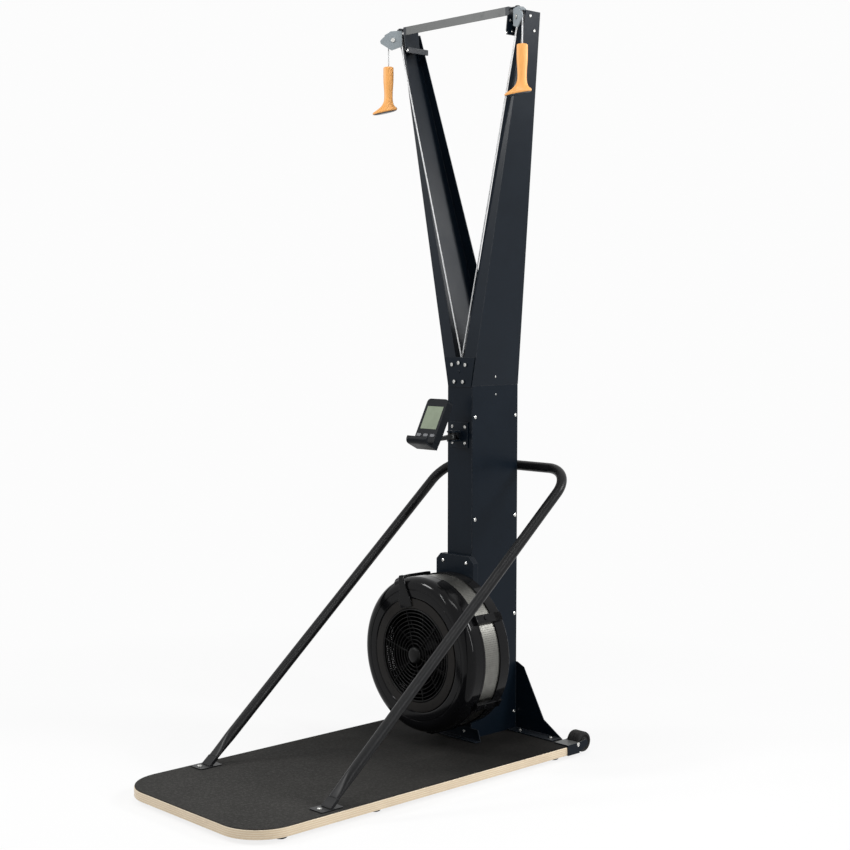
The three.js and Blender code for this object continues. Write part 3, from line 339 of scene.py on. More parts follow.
def smooth(piece, angle=SMOOTH_ANGLE):
    """Smooth shading up to an angle, with normals that keep the large faces flat."""
    only(piece)
    bpy.ops.object.shade_smooth_by_angle(angle=angle)
    return finished_by(piece, "WEIGHTED_NORMAL", mode="FACE_AREA", weight=80, keep_sharp=True)


def outward(piece):
    """Merges doubles and turns all faces outwards."""
    with Editing(piece) as edit:
        edit.all()
        bpy.ops.mesh.remove_doubles(threshold=1e-6)
        bpy.ops.mesh.normals_make_consistent(inside=False)
    return piece


def blank(name, points, edges=(), faces=()):
    """A piece from bare points, edges and faces."""
    mesh = bpy.data.meshes.new(name)
    mesh.from_pydata([tuple(p) for p in points], edges, faces)
    piece = bpy.data.objects.new(name, mesh)
    bpy.context.scene.collection.objects.link(piece)
    return piece


def copy_of(node, name):
    """A merged copy of a CAD node's mesh, with its flat faces made whole again."""
    piece = bpy.data.objects.new(name, frame["nodes"][node].data.copy())
    piece.data.name = name
    piece.data.materials.clear()
    bpy.context.scene.collection.objects.link(piece)
    with Editing(piece) as edit:
        edit.all()
        bpy.ops.mesh.remove_doubles(threshold=2e-5)
        bpy.ops.mesh.dissolve_limited(angle_limit=math.radians(0.6))
    return piece


def joined(name, pieces):
    """Joins pieces into the first of them."""
    only(pieces[0])
    for piece in pieces[1:]:
        piece.select_set(True)
    bpy.ops.object.join()
    pieces[0].name = name
    pieces[0].data.name = name
    return pieces[0]


def copies(master, places):
    """One copy of the master for each matrix, each with its own mesh; the master goes."""
    made = []
    for place in places:
        piece = bpy.data.objects.new(master.name, master.data.copy())
        piece.data.transform(place)
        if place.determinant() < 0:
            piece.data.flip_normals()
        bpy.context.scene.collection.objects.link(piece)
        made.append(piece)
    bpy.data.objects.remove(master)
    return made


def facing(place, normal, spin=0.0):
    """A matrix that takes +Z to a direction and the origin to a place."""
    turn = Vector(normal).to_track_quat("Z", "Y").to_matrix().to_4x4()
    return Matrix.Translation(place) @ turn @ Matrix.Rotation(spin, 4, "Z")


def turned(name, profile, steps=FINE_TURN, place=(0, 0, 0), axis=(0, 0, 1)):
    """A piece spun from a closed profile of (radius, height) about an axis through a place."""
    points = [(r, 0.0, h) for r, h in profile]
    count = len(points)
    piece = blank(name, points, [(i, (i + 1) % count) for i in range(count)])
    with Editing(piece) as edit:
        edit.all()
        bpy.ops.mesh.spin(steps=steps, angle=math.tau, center=(0, 0, 0), axis=(0, 0, 1))
        edit.all()
        bpy.ops.mesh.remove_doubles(threshold=1e-6)
        bpy.ops.mesh.dissolve_degenerate(threshold=1e-7)
        edit.all()
        bpy.ops.mesh.normals_make_consistent(inside=False)
    piece.data.transform(facing(place, axis))
    return piece


def skinned(name, rings):
    """A closed skin over rings that all have the same number of points."""
    sides, last = len(rings[0]), (len(rings) - 1) * len(rings[0])
    faces = []
    for ring in range(0, last, sides):
        for k in range(sides):
            n = (k + 1) % sides
            faces.append((ring + k, ring + n, ring + sides + n, ring + sides + k))
    faces.append(tuple(reversed(range(sides))))
    faces.append(tuple(range(last, last + sides)))
    return blank(name, [p for ring in rings for p in ring], faces=faces)


def lofted(name, rings):
    """A skin over rings, with its faces turned outwards."""
    return outward(skinned(name, rings))


def swept(name, path, radius, sides):
    """A closed tube along a path, with a UV map: turns across and metres along."""
    points = [Vector(p) for p in path]
    count = len(points)
    tangents = [
        (points[min(i + 1, count - 1)] - points[max(i - 1, 0)]).normalized() for i in range(count)
    ]
    side = tangents[0].orthogonal().normalized()
    rings = []
    for point, tangent in zip(points, tangents):
        side = (side - tangent * side.dot(tangent)).normalized()
        up = tangent.cross(side)
        turns = [math.tau * k / sides for k in range(sides)]
        rings.append([point + radius * (side * math.cos(t) + up * math.sin(t)) for t in turns])
    piece = skinned(name, rings)
    along = [0.0]
    for a, b in zip(points, points[1:]):
        along.append(along[-1] + (b - a).length)
    layer = piece.data.uv_layers.new(name="UVMap")
    for face in piece.data.polygons:
        wraps = face.use_smooth = len(face.vertices) == 4
        for loop, vertex in zip(face.loop_indices, face.vertices):
            ring, k = divmod(vertex, sides)
            turn = k / sides
            if wraps and k == 0 and any(v % sides == sides - 1 for v in face.vertices):
                turn = 1.0
            layer.data[loop].uv = (turn, along[ring])
    return piece


# Surface effects shared by several finishes


def new_group(name, inputs, outputs):
    """A node group of plain numbers: its tree, its wiring, its inputs and its outputs."""
    group = bpy.data.node_groups.new(name, "ShaderNodeTree")
    number = "NodeSocketFloat"
    for label, value in inputs:
        socket = group.interface.new_socket(name=label, in_out="INPUT", socket_type=number)
        socket.default_value = value
    for label in outputs:
        group.interface.new_socket(name=label, in_out="OUTPUT", socket_type=number)
    w = Wiring(group)
    return group, w, w.add("NodeGroupInput").outputs, w.add("NodeGroupOutput").inputs


class Wiring:
    """Adds and links nodes in one tree."""

    def __init__(self, tree):
        self.tree = tree

    def add(self, kind, inputs=None, **values):
        """A node with its settings; an input takes a constant or another node's socket."""
        node = self.tree.nodes.new(kind)
        for key, value in values.items():
            setattr(node, key, value)
        for key, value in (inputs or {}).items():
            if isinstance(value, bpy.types.NodeSocket):
                self.tree.links.new(value, node.inputs[key])
            else:
                node.inputs[key].default_value = value
        return node

    def math(self, operation, a, b=0.0, clamp=False):
        """One sum on constants or sockets."""
        node = self.add("ShaderNodeMath", {0: a, 1: b}, operation=operation, use_clamp=clamp)
        return node.outputs[0]

    def noise(self, vector, scale, detail=3.0, roughness=0.55):
        """Cloudy noise about 0.5."""
        inputs = {"Vector": vector, "Scale": scale, "Detail": detail, "Roughness": roughness}
        return self.add("ShaderNodeTexNoise", inputs).outputs["Fac"]

    def spread(self, value, low_in, high_in, low_out=0.0, high_out=1.0):
        """Takes one range of a value to another and holds it at the ends."""
        node = self.add("ShaderNodeMapRange", {
            "Value": value, "From Min": low_in, "From Max": high_in,
            "To Min": low_out, "To Max": high_out,
        })
        return node.outputs["Result"]

    def blend(self, share, a, b):
        """Mixes two colours or numbers; a share of 0 gives the first."""
        node = self.add("ShaderNodeMix", data_type="RGBA", blend_type="MIX")
        for socket, value in zip((node.inputs[0], node.inputs[6], node.inputs[7]), (share, a, b)):
            if isinstance(value, bpy.types.NodeSocket):
                self.tree.links.new(value, socket)
            elif hasattr(value, "__len__"):
                socket.default_value = (*value, 1.0)[:4]
            else:
                socket.default_value = value
        return node.outputs[2]

    def object_place(self):
        """Where a point lies on its object, in metres."""
        return self.add("ShaderNodeTexCoord").outputs["Object"]

    def placed(self, vector, scale, rotation=(0, 0, 0)):
        """Stretches and turns a pattern."""
        inputs = {"Vector": vector, "Scale": scale, "Rotation": rotation}
        return self.add("ShaderNodeMapping", inputs).outputs[0]


def mottle_group():
    """Slow and fast variation of a coat, from 0 to 1."""
    group, w, given, out = new_group("coat mottle", [("Scale", 8.0)], ["Value"])
    place = w.object_place()
    slow = w.noise(place, given["Scale"], 4.0)
    fast = w.noise(place, w.math("MULTIPLY", given["Scale"], 7.0), 3.0)
    both = w.math("ADD", w.math("MULTIPLY", slow, 0.7), w.math("MULTIPLY", fast, 0.3))
    group.links.new(w.spread(both, 0.32, 0.68), out["Value"])
    return group


def peel_group():
    """Height of a powder coat's orange peel."""
    group, w, given, out = new_group("powder peel", [("Scale", 900.0)], ["Height"])
    place = w.object_place()
    grain = w.noise(place, given["Scale"], 2.0, 0.6)
    wave = w.noise(place, w.math("MULTIPLY", given["Scale"], 0.23), 1.0)
    group.links.new(w.math("ADD", grain, w.math("MULTIPLY", wave, 0.6)), out["Height"])
    return group


def edge_highlight_group():
    """Painted highlight on outer edges: where the rounded normal leaves the true one, broken up by
    noise.
    """
    group, w, given, out = new_group("rubbed edge", [("Reach", 0.002), ("Amount", 1.0)], ["Mask"])
    soft = w.add("ShaderNodeBevel", {"Radius": given["Reach"]}, samples=4)
    hard = w.add("ShaderNodeNewGeometry")
    dot = w.add("ShaderNodeVectorMath", {0: soft.outputs[0], 1: hard.outputs["Normal"]},
                operation="DOT_PRODUCT")
    bend = w.spread(dot.outputs["Value"], 0.995, 0.90)
    broken = w.spread(w.noise(w.object_place(), 160.0, 4.0, 0.7), 0.40, 0.62)
    mask = w.math("MULTIPLY", w.math("MULTIPLY", bend, broken), given["Amount"], clamp=True)
    group.links.new(mask, out["Mask"])
    return group


def dust_group():
    """Light dust on what faces up."""
    group, w, given, out = new_group("settled dust", [("Amount", 0.3)], ["Mask"])
    split = w.add("ShaderNodeSeparateXYZ", {0: w.add("ShaderNodeNewGeometry").outputs["Normal"]})
    up = w.spread(split.outputs["Z"], 0.35, 1.0)
    specks = w.spread(w.noise(w.object_place(), 240.0, 5.0, 0.75), 0.48, 0.80)
    clouds = w.spread(w.noise(w.object_place(), 6.0, 3.0), 0.35, 0.75)
    both = w.math("ADD", w.math("MULTIPLY", specks, 0.5), w.math("MULTIPLY", clouds, 0.5))
    mask = w.math("MULTIPLY", w.math("MULTIPLY", up, both), given["Amount"], clamp=True)
    group.links.new(mask, out["Mask"])
    return group


def scratch_group():
    """Mask of fine scuffs in two directions."""
    group, w, given, out = new_group("fine scuffs", [("Scale", 40.0)], ["Mask"])
    place = w.object_place()
    masks = []
    for angle, stretch in ((0.35, (1.0, 14.0, 1.0)), (-0.9, (12.0, 1.0, 1.4))):
        line = w.placed(place, stretch, (angle, angle * 0.7, angle))
        masks.append(w.spread(w.noise(line, given["Scale"], 3.0, 0.7), 0.66, 0.74))
    group.links.new(w.math("MAXIMUM", *masks), out["Mask"])
    return group


def braid_group():
    """Height and thread mask of a braid on a UV map with turns across and metres along."""
    sizes = [("Strands", 4.0), ("Repeat", 0.0055)]
    group, w, given, out = new_group("cord braid", sizes, ["Height", "Mask"])
    split = w.add("ShaderNodeSeparateXYZ", {0: w.add("ShaderNodeTexCoord").outputs["UV"]})
    across = w.math("MULTIPLY", split.outputs["X"], given["Strands"])
    along = w.math("DIVIDE", split.outputs["Y"], given["Repeat"])
    waves = []
    for sign in (1.0, -1.0):
        slant = w.math("ADD", across, w.math("MULTIPLY", along, sign))
        waves.append(w.math("SINE", w.math("MULTIPLY", slant, math.tau)))
    height = w.math("MAXIMUM", *waves)
    group.links.new(height, out["Height"])
    group.links.new(w.spread(w.math("MULTIPLY", *waves), -0.2, 0.9), out["Mask"])
    return group


GROUPS = {}


def use_group(w, name, **values):
    """Places a shared effect in a material, with its own values."""
    makers = {
        "mottle": mottle_group, "peel": peel_group, "edge": edge_highlight_group,
        "dust": dust_group, "scuffs": scratch_group, "braid": braid_group,
    }
    if name not in GROUPS:
        GROUPS[name] = makers[name]()
    node = w.add("ShaderNodeGroup", node_tree=GROUPS[name])
    for key, value in values.items():
        node.inputs[key].default_value = value
    return node


# Finishes


def new_finish(name, roughness, metallic=0.0, **constants):
    """An empty Principled material; constants go straight on the shader's sockets."""
    material = bpy.data.materials.new(name)
    material.use_nodes = True
    tree = material.node_tree
    shader = next(n for n in tree.nodes if n.type == "BSDF_PRINCIPLED")
    shader.inputs["Roughness"].default_value = roughness
    shader.inputs["Metallic"].default_value = metallic
    for key, value in constants.items():
        shader.inputs[key.replace("_", " ")].default_value = value
    return material, Wiring(tree), shader


def wired(w, shader, colour, gloss, height, strength, distance):
    """Links a colour, a roughness and the bump of a height to a finish's shader."""
    bump = w.add("ShaderNodeBump", {"Height": height, "Strength": strength, "Distance": distance})
    for key, source in (("Base Color", colour), ("Roughness", gloss), ("Normal", bump.outputs[0])):
        w.tree.links.new(source, shader.inputs[key])


def painted(name, colour, roughness, dust=0.22, edge=0.35, gloss_level=0.10):
    """Satin powder coat: orange peel, slow gloss change, a painted highlight on outer edges and a
    little dust.
    """
    material, w, shader = new_finish(name, roughness, Specular_IOR_Level=gloss_level)
    mottle = use_group(w, "mottle", Scale=3.5).outputs[0]
    light = tuple(min(1.0, c * t) for c, t in zip(colour, (1.25, 1.25, 1.28)))
    body = w.blend(mottle, colour, light)
    # A lighter grey on the rounded outer edges and folds: a painted highlight.
    highlit = use_group(w, "edge", Reach=0.0016, Amount=edge).outputs[0]
    with_highlight = w.blend(highlit, body, (0.16, 0.165, 0.17))
    dusty = w.blend(use_group(w, "dust", Amount=dust).outputs[0], with_highlight, (0.22, 0.21, 0.20))
    scuffs = use_group(w, "scuffs", Scale=30.0).outputs[0]
    gloss = w.math("ADD", w.spread(mottle, 0.0, 1.0, roughness - 0.05, roughness + 0.06),
                   w.math("MULTIPLY", scuffs, 0.10), clamp=True)
    peel = use_group(w, "peel", Scale=850.0).outputs[0]
    wired(w, shader, dusty, gloss, peel, 0.16, 0.0004)
    return material


def plastic(name, colour, roughness, grain=0.25, dust=0.2, gloss_level=0.3, variation=1.3):
    """Moulded plastic: fine spark grain, slow gloss change, scuffs and dust."""
    material, w, shader = new_finish(name, roughness, Specular_IOR_Level=gloss_level)
    mottle = use_group(w, "mottle", Scale=9.0).outputs[0]
    light = tuple(min(1.0, c * variation + 0.001) for c in colour)
    body = w.blend(mottle, colour, light)
    dusty = w.blend(use_group(w, "dust", Amount=dust).outputs[0], body, (0.24, 0.23, 0.21))
    scuffs = use_group(w, "scuffs", Scale=55.0).outputs[0]
    gloss = w.math("ADD", w.spread(mottle, 0.0, 1.0, roughness * 0.8, roughness * 1.25),
                   w.math("MULTIPLY", scuffs, 0.14), clamp=True)
    peel = use_group(w, "peel", Scale=1400.0).outputs[0]
    wired(w, shader, dusty, gloss, peel, grain, 0.00025)
    return material


def metal(name, colour, roughness, brushed=1.0):
    """Bare or plated metal with fine brushing and dull spots."""
    material, w, shader = new_finish(name, roughness, 1.0)
    place = w.object_place()
    lines = w.noise(w.placed(place, (9.0, 1.0, 30.0)), 260.0, 3.0)
    mottle = use_group(w, "mottle", Scale=60.0).outputs[0]
    dull = tuple(c * 0.72 for c in colour)
    body = w.blend(mottle, dull, colour)
    dusty = w.blend(use_group(w, "dust", Amount=0.1).outputs[0], body, (0.3, 0.29, 0.27))
    gloss = w.math("ADD", w.spread(mottle, 0.0, 1.0, roughness * 1.25, roughness * 0.8),
                   w.spread(lines, 0.3, 0.7, -0.05, 0.05), clamp=True)
    wired(w, shader, dusty, gloss, lines, 0.12 * brushed, 0.0003)
    return material


def rubber(name, colour, roughness, pebble=0.0, scale=420.0, gloss_level=0.35, shade_gradient=0.0):
    """Matt rubber; pebble gives it cast lumps, and a painted shade gradient greys it towards the
    deck's front so that it stays darker near the column.
    """
    material, w, shader = new_finish(name, roughness, Specular_IOR_Level=gloss_level)
    place = w.object_place()
    mottle = use_group(w, "mottle", Scale=5.0).outputs[0]
    lump = 0.0
    for size, share in ((scale, 0.55), (scale * 0.4, 0.45)):
        cells = w.add("ShaderNodeTexVoronoi", {"Vector": place, "Scale": size, "Randomness": 0.9})
        height = w.spread(cells.outputs["Distance"], 0.0, 0.55, share, 0.0)
        lump = w.math("ADD", height, lump)
    light = tuple(min(1.0, c * 1.75) for c in colour)
    body = w.blend(mottle, colour, light)
    speckle = w.spread(w.noise(place, scale * 0.62, 4.0, 0.8), 0.36, 0.64, 0.75 * pebble, 0.0)
    body = w.blend(speckle, body, tuple(c * 0.35 for c in colour))
    hollow = w.spread(lump, 0.0, 1.0, 0.45, 0.0)
    shaded = w.blend(hollow, body, tuple(c * 0.5 for c in colour))
    dusty = w.blend(use_group(w, "dust", Amount=0.10).outputs[0], shaded, (0.20, 0.19, 0.175))
    # Painted shade: the rubber is greyed towards the deck's front, most on the lumps, so that it
    # stays darker near the column; feet holds that share.
    if shade_gradient:
        along = w.add("ShaderNodeSeparateXYZ", {0: place}).outputs["Y"]
        ahead = w.spread(along, -0.4, 0.28, shade_gradient, 0.0)
        feet = w.math("MULTIPLY", ahead, w.spread(lump, 0.0, 1.0, 0.4, 1.0))
        dusty = w.blend(feet, dusty, (0.105, 0.103, 0.098))
    gloss = w.spread(mottle, 0.0, 1.0, roughness - 0.08, roughness + 0.08)
    fine = use_group(w, "peel", Scale=1100.0).outputs[0]
    height = w.math("ADD", w.math("MULTIPLY", lump, pebble), w.math("MULTIPLY", fine, 0.4))
    wired(w, shader, dusty, gloss, height, 0.55, 0.0006)
    return material


def plywood(name, colour, roughness):
    """Veneers stacked along Z, seen at the board's edge, with long grain on the underside."""
    material, w, shader = new_finish(name, roughness, Coat_Weight=0.18, Coat_Roughness=0.25)
    place = w.object_place()
    split = w.add("ShaderNodeSeparateXYZ", {0: place})
    floor, veneer = low("deck_board").z, (high("deck_board").z - low("deck_board").z) / 9
    waver = w.spread(w.noise(w.placed(place, (1, 1, 0.1)), 5.0, 3.0), 0.0, 1.0, -0.10, 0.10)
    ply = w.math("DIVIDE", w.math("SUBTRACT", split.outputs["Z"], floor), veneer)
    ply = w.math("ADD", ply, waver)
    fract = w.math("FRACT", ply)
    glue = w.math("MAXIMUM", w.spread(fract, 0.90, 0.97), w.spread(fract, 0.09, 0.03))
    odd = w.math("MODULO", w.math("FLOOR", ply), 2.0)
    long_grain = w.noise(w.placed(place, (1.0, 0.06, 6.0)), 190.0, 5.0, 0.65)
    end_grain = w.noise(w.placed(place, (1.0, 1.0, 0.6)), 900.0, 3.0, 0.6)
    grain = w.blend(odd, long_grain, end_grain)
    tone = w.spread(grain, 0.30, 0.72)
    pale = w.blend(tone, tuple(c * 0.82 for c in colour), tuple(min(1, c * 1.12) for c in colour))
    even = w.blend(odd, pale, tuple(c * f for c, f in zip(colour, (0.86, 0.80, 0.72))))
    lined = w.blend(w.math("MULTIPLY", glue, 0.42), even, (0.30, 0.17, 0.09))
    stains = w.spread(w.noise(place, 11.0, 4.0), 0.45, 0.85, 0.0, 0.22)
    dusty = w.blend(stains, lined, (0.42, 0.30, 0.19))
    gloss = w.spread(grain, 0.0, 1.0, roughness - 0.06, roughness + 0.14)
    height = w.math("SUBTRACT", grain, w.math("MULTIPLY", glue, 0.8))
    wired(w, shader, dusty, gloss, height, 0.3, 0.0004)
    return material


def braided(name, colour, roughness):
    """Braided cord with a little grime."""
    material, w, shader = new_finish(name, roughness, Sheen_Weight=0.2)
    braid = use_group(w, "braid", Strands=4.0, Repeat=bpy.context.scene.trainer_cord.lay)
    dark = tuple(c * 0.66 for c in colour)
    body = w.blend(braid.outputs["Mask"], dark, colour)
    grime = w.spread(w.noise(w.object_place(), 70.0, 3.0), 0.5, 0.8, 0.0, 0.25)
    soiled = w.blend(grime, body, (0.25, 0.25, 0.25))
    gloss = w.spread(braid.outputs["Mask"], 0.0, 1.0, roughness + 0.15, roughness - 0.15)
    wired(w, shader, soiled, gloss, braid.outputs["Height"], 0.8, 0.0003)
    return material


def display_glass(name, colour, roughness, shade):
    """Grey-green liquid crystal with nothing shown, clouded with a second colour."""
    material, w, shader = new_finish(name, roughness, Specular_IOR_Level=0.12)
    clouds = w.noise(w.object_place(), 30.0, 2.0)
    clouded = w.blend(w.spread(clouds, 0.3, 0.7), shade, colour)
    gloss = w.spread(clouds, 0.3, 0.7, roughness - 0.05, roughness + 0.05)
    peel = use_group(w, "peel", Scale=2500.0).outputs[0]
    wired(w, shader, clouded, gloss, peel, 0.05, 0.0001)
    return material


def finish_table():
    """Each finish: its maker, colour, roughness and what else sets it apart."""
    colours = bpy.context.scene.trainer_colours
    return {
        "frame_paint": (painted, colours.frame, 0.33, {}),
        "arm_paint": (painted, colours.frame, 0.33, {"gloss_level": 0.15}),
        # A lighter copy of the frame paint: painted sheen on the crossbar's strap and on the wheel
        # brackets' tops.
        "strap_paint": (painted, (0.088, 0.092, 0.090), 0.34,
                        {"dust": 0.1, "edge": 0.05, "gloss_level": 0.12}),
        "rail_paint": (painted, colours.rail, 0.34, {"dust": 0.05, "gloss_level": 0.16}),
        "block_paint": (painted, (0.24, 0.27, 0.285), 0.42, {"edge": 0.6}),
        # Near black that stands for the dark inside of the fan: painted shade on the rotor and on
        # the band's inner faces.
        "rotor_paint": (painted, (0.0025, 0.0025, 0.003), 0.6,
                        {"dust": 0.0, "edge": 0.0, "gloss_level": 0.15}),
        "zinc": (metal, (0.66, 0.66, 0.64), 0.26, {}),
        "steel": (metal, (0.55, 0.55, 0.55), 0.3, {}),
        "band_steel": (metal, (0.205, 0.203, 0.187), 0.38, {"brushed": 0.5}),
        "gloss_shell": (plastic, colours.shell, 0.09,
                        {"grain": 0.03, "dust": 0.03, "gloss_level": 0.12}),
        "satin_shell": (plastic, (0.0030, 0.0044, 0.0066), 0.34,
                        {"grain": 0.18, "dust": 0.03, "gloss_level": 0.07}),
        "black_plastic": (plastic, (0.009, 0.0093, 0.010), 0.40, {"gloss_level": 0.15}),
        "damper_plastic": (plastic, (0.0085, 0.0074, 0.0066), 0.30,
                           {"grain": 0.10, "dust": 0.03, "gloss_level": 0.12}),
        "grille_plastic": (plastic, (0.0028, 0.0028, 0.003), 0.30,
                           {"grain": 0.05, "dust": 0.03, "gloss_level": 0.12}),
        "pulley_plastic": (plastic, (0.016, 0.016, 0.017), 0.45, {}),
        "button_plastic": (plastic, (0.11, 0.115, 0.125), 0.34, {}),
        "grip_plastic": (plastic, colours.grip, 0.42,
                         {"grain": 0.2, "dust": 0.0, "gloss_level": 0.4, "variation": 1.06}),
        "grip_sole": (plastic, (0.035, 0.045, 0.055), 0.16, {"grain": 0.1}),
        "rubber": (rubber, (0.012, 0.012, 0.012), 0.82, {}),
        # The last value paints shade: the mat greys towards the deck's front and stays darker near
        # the column.
        "mat_rubber": (rubber, colours.mat, 0.80,
                       {"pebble": 1.0, "scale": 210.0, "gloss_level": 0.04, "shade_gradient": 0.75}),
        "plywood": (plywood, colours.ply, 0.42, {}),
        "cord_braid": (braided, (0.94, 0.95, 0.96), 0.6, {}),
        "lcd": (display_glass, (0.275, 0.322, 0.236), 0.5, {"shade": (0.232, 0.275, 0.197)}),
    }


FINISHES = {}


def finish_named(name):
    """A finish, built the first time it is asked for."""
    if name not in FINISHES:
        maker, colour, roughness, more = finish_table()[name]
        FINISHES[name] = maker(name, tuple(colour), roughness, **more)
    return FINISHES[name]


def dressed(piece, body, finish, slot, *nodes):
    """Gives a finished piece its finish and its body, and hides the CAD nodes it stands for; the
    slot is not used.
    """
    piece.data.materials.clear()
    piece.data.materials.append(finish_named(finish))
    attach(piece, body)
    if nodes:
        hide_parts(*nodes)
    return piece


def carried_over(node, finish):
    """A CAD node that stays and only gets a better finish."""
    piece = frame["nodes"][node]
    piece.data.materials.clear()
    piece.data.materials.append(finish_named(finish))


def second_finish(piece, finish, test):
    """Gives another finish to the faces that pass a test."""
    piece.data.materials.append(finish_named(finish))
    for face in piece.data.polygons:
        if test(face):
            face.material_index = 1


def folded_sheet(node, name, body, finish="frame_paint", slot="frame_paint", edge=None, segments=2):
    """A sheet metal piece: a merged copy of its node with rounded edges."""
    sizes = bpy.context.scene.trainer_sheet
    piece = rounded(copy_of(node, name), edge or sizes.edge, segments)
    smooth(piece)
    return dressed(piece, body, finish, slot, node)


# Fasteners


def screw_master(name, radius, height):
    """A domed screw head on z = 0 with a hex socket, modelled from one cylinder."""
    dome, socket, sides = 0.35, 0.48, 24

    def rim(edge):
        spot = centre_of(edge)
        return spot.z > height * 0.9 and spot.xy.length > radius * 0.9

    def crown(face):
        return face.normal.z > 0.9 and centre_of(face).xy.length < radius * 0.05

    piece = added(name, bpy.ops.mesh.primitive_cylinder_add, vertices=sides, radius=radius,
                  depth=height, location=(0, 0, height / 2))
    settled(piece)
    with Editing(piece) as edit:
        edit.pick("FACE", crown)
        bpy.ops.mesh.inset(thickness=radius * dome, depth=0.0)
        edit.pick("EDGE", rim)
        bpy.ops.transform.translate(value=(0, 0, -height * 0.45))
        edit.pick("FACE", crown)
        bpy.ops.mesh.inset(thickness=radius * (1 - dome - socket), depth=0.0)
        edit.pick("FACE", crown)
        bpy.ops.mesh.extrude_region_move(TRANSFORM_OT_translate={"value": (0, 0, -height * 0.55)})
    for vertex in piece.data.vertices:
        if 0 < vertex.co.xy.length < radius * (socket + 0.02):
            turn = math.atan2(vertex.co.y, vertex.co.x) % (math.pi / 3) - math.pi / 6
            vertex.co.xy *= 0.92 / math.cos(turn)
    outward(piece)
    return smooth(piece, math.radians(35))


def fastener_set(name, body, places, radius, height, finish="zinc"):
    """One piece that holds like fasteners of one body; places are (point, outward normal)."""
    master = screw_master(name, radius, height)
    spins = [0.4 + 1.7 * i for i in range(len(places))]
    made = copies(master, [facing(p, n, s) for (p, n), s in zip(places, spins)])
    return dressed(joined(name, made), body, finish, "steel")


# Places and starting shapes


def at(x, y, z):
    """A place in millimetres: across, back from the column's front and up from the floor."""
    return Vector((x * MM, FRONT_Y + y * MM, z * MM))


def in_row(spots, normal):
    """Places for like fasteners that face one way, from spots in millimetres."""
    return [(at(*spot), normal) for spot in spots]


def block_place(sign):
    """From a pulley block's own axes, -Y along it and Z on its swivel, to its place."""
    from_cord = 2 * PULLEY_PITCH * MM * math.sin(BLOCK_YAW)
    pivot = Vector((sign * (middle("cord_drop_right").x - from_cord), FRONT_Y - 17 * MM, 0))
    return Matrix.Translation(pivot) @ Matrix.Rotation(sign * BLOCK_YAW, 4, "Z")


def mirrored(near, between):
    """A closed profile of (radius, height): one side, what lies between, and the other side."""
    return [*near, *between, *((r, -h) for r, h in reversed(near))]


def eased(stations, steps):
    """Stations of a loft with smooth ones put between them."""
    finer = []
    for i in range(len(stations) - 1):
        a, b = stations[i], stations[i + 1]
        before = stations[max(i - 1, 0)]
        after = stations[min(i + 2, len(stations) - 1)]
        for s in range(steps):
            t = s / steps
            finer.append([
                q + 0.5 * t * (c - p + t * (2 * p - 5 * q + 4 * c - d + t * (3 * (q - c) + d - p)))
                for p, q, c, d in zip(before, a, b, after)
            ])
    return finer + [list(stations[-1])]


def block(name, lowest, highest):
    """A box between two corners, as a start for bevels and insets."""
    a, b = Vector(lowest), Vector(highest)
    piece = added(name, bpy.ops.mesh.primitive_cube_add, size=1, location=(a + b) / 2, scale=b - a)
    return settled(piece)


def bevel_edges(piece, test, radius, segments):
    """Rounds the edges that pass a test."""
    with Editing(piece) as edit:
        edit.pick("EDGE", test)
        bpy.ops.mesh.bevel(offset=radius, segments=segments, affect="EDGES", clamp_overlap=True)


def upright(edge):
    """Whether an edge stands straight up."""
    a, b = (v.co for v in edge.verts)
    return (a.xy - b.xy).length < 1e-6 < abs(a.z - b.z)


class PieceOperator:
    """Shared settings of the operators that make pieces."""

    bl_options = {"REGISTER", "UNDO"}


class TRAINER_OT_deck(PieceOperator, bpy.types.Operator):
    """Plywood board with its rubber mat and six feet"""

    bl_idname = "trainer.deck"
    bl_label = "Deck"

    def slab(self, name, node, front, rear, edge):
        """A board in its node's box with round corners and edges."""
        bottom, top = low(node), high(node)
        piece = block(name, bottom, top)
        bevel_edges(piece, lambda e: upright(e) and centre_of(e).y < bottom.y + MM, front,
                    segments=28)
        bevel_edges(piece, lambda e: upright(e) and centre_of(e).y > top.y - MM, rear, segments=8)
        rounded(piece, edge, 3)
        return smooth(piece)

    def execute(self, context):
        sizes = context.scene.trainer_deck
        board = self.slab("deck_board_ply", "deck_board", sizes.front_corner, sizes.rear_corner,
                          sizes.board_edge)
        dressed(board, "base", "plywood", "plywood", "deck_board")
        mat = self.slab("deck_mat_rubber", "deck_mat", sizes.front_corner - 1.5 * MM,
                        sizes.rear_corner - 1.5 * MM, 1.1 * MM)
        dressed(mat, "base", "mat_rubber", "deck_rubber", "deck_mat")
        for i in range(1, 7):
            node = f"foot_{i}"
            across, _, tall = high(node) - low(node)
            shares = [(0, 0), (0.80, 0), (0.92, 0.10), (1, 0.28), (1, 0.62), (0.93, 0.66),
                      (0.93, 0.74), (1, 0.78), (1, 1), (0, 1)]
            profile = [(across / 2 * r, tall * h) for r, h in shares]
            foot = turned(f"deck_foot_{i}", profile, 48, (*middle(node).xy, low(node).z))
            dressed(smooth(foot), "base", "rubber", "rubber", node)
        return {"FINISHED"}


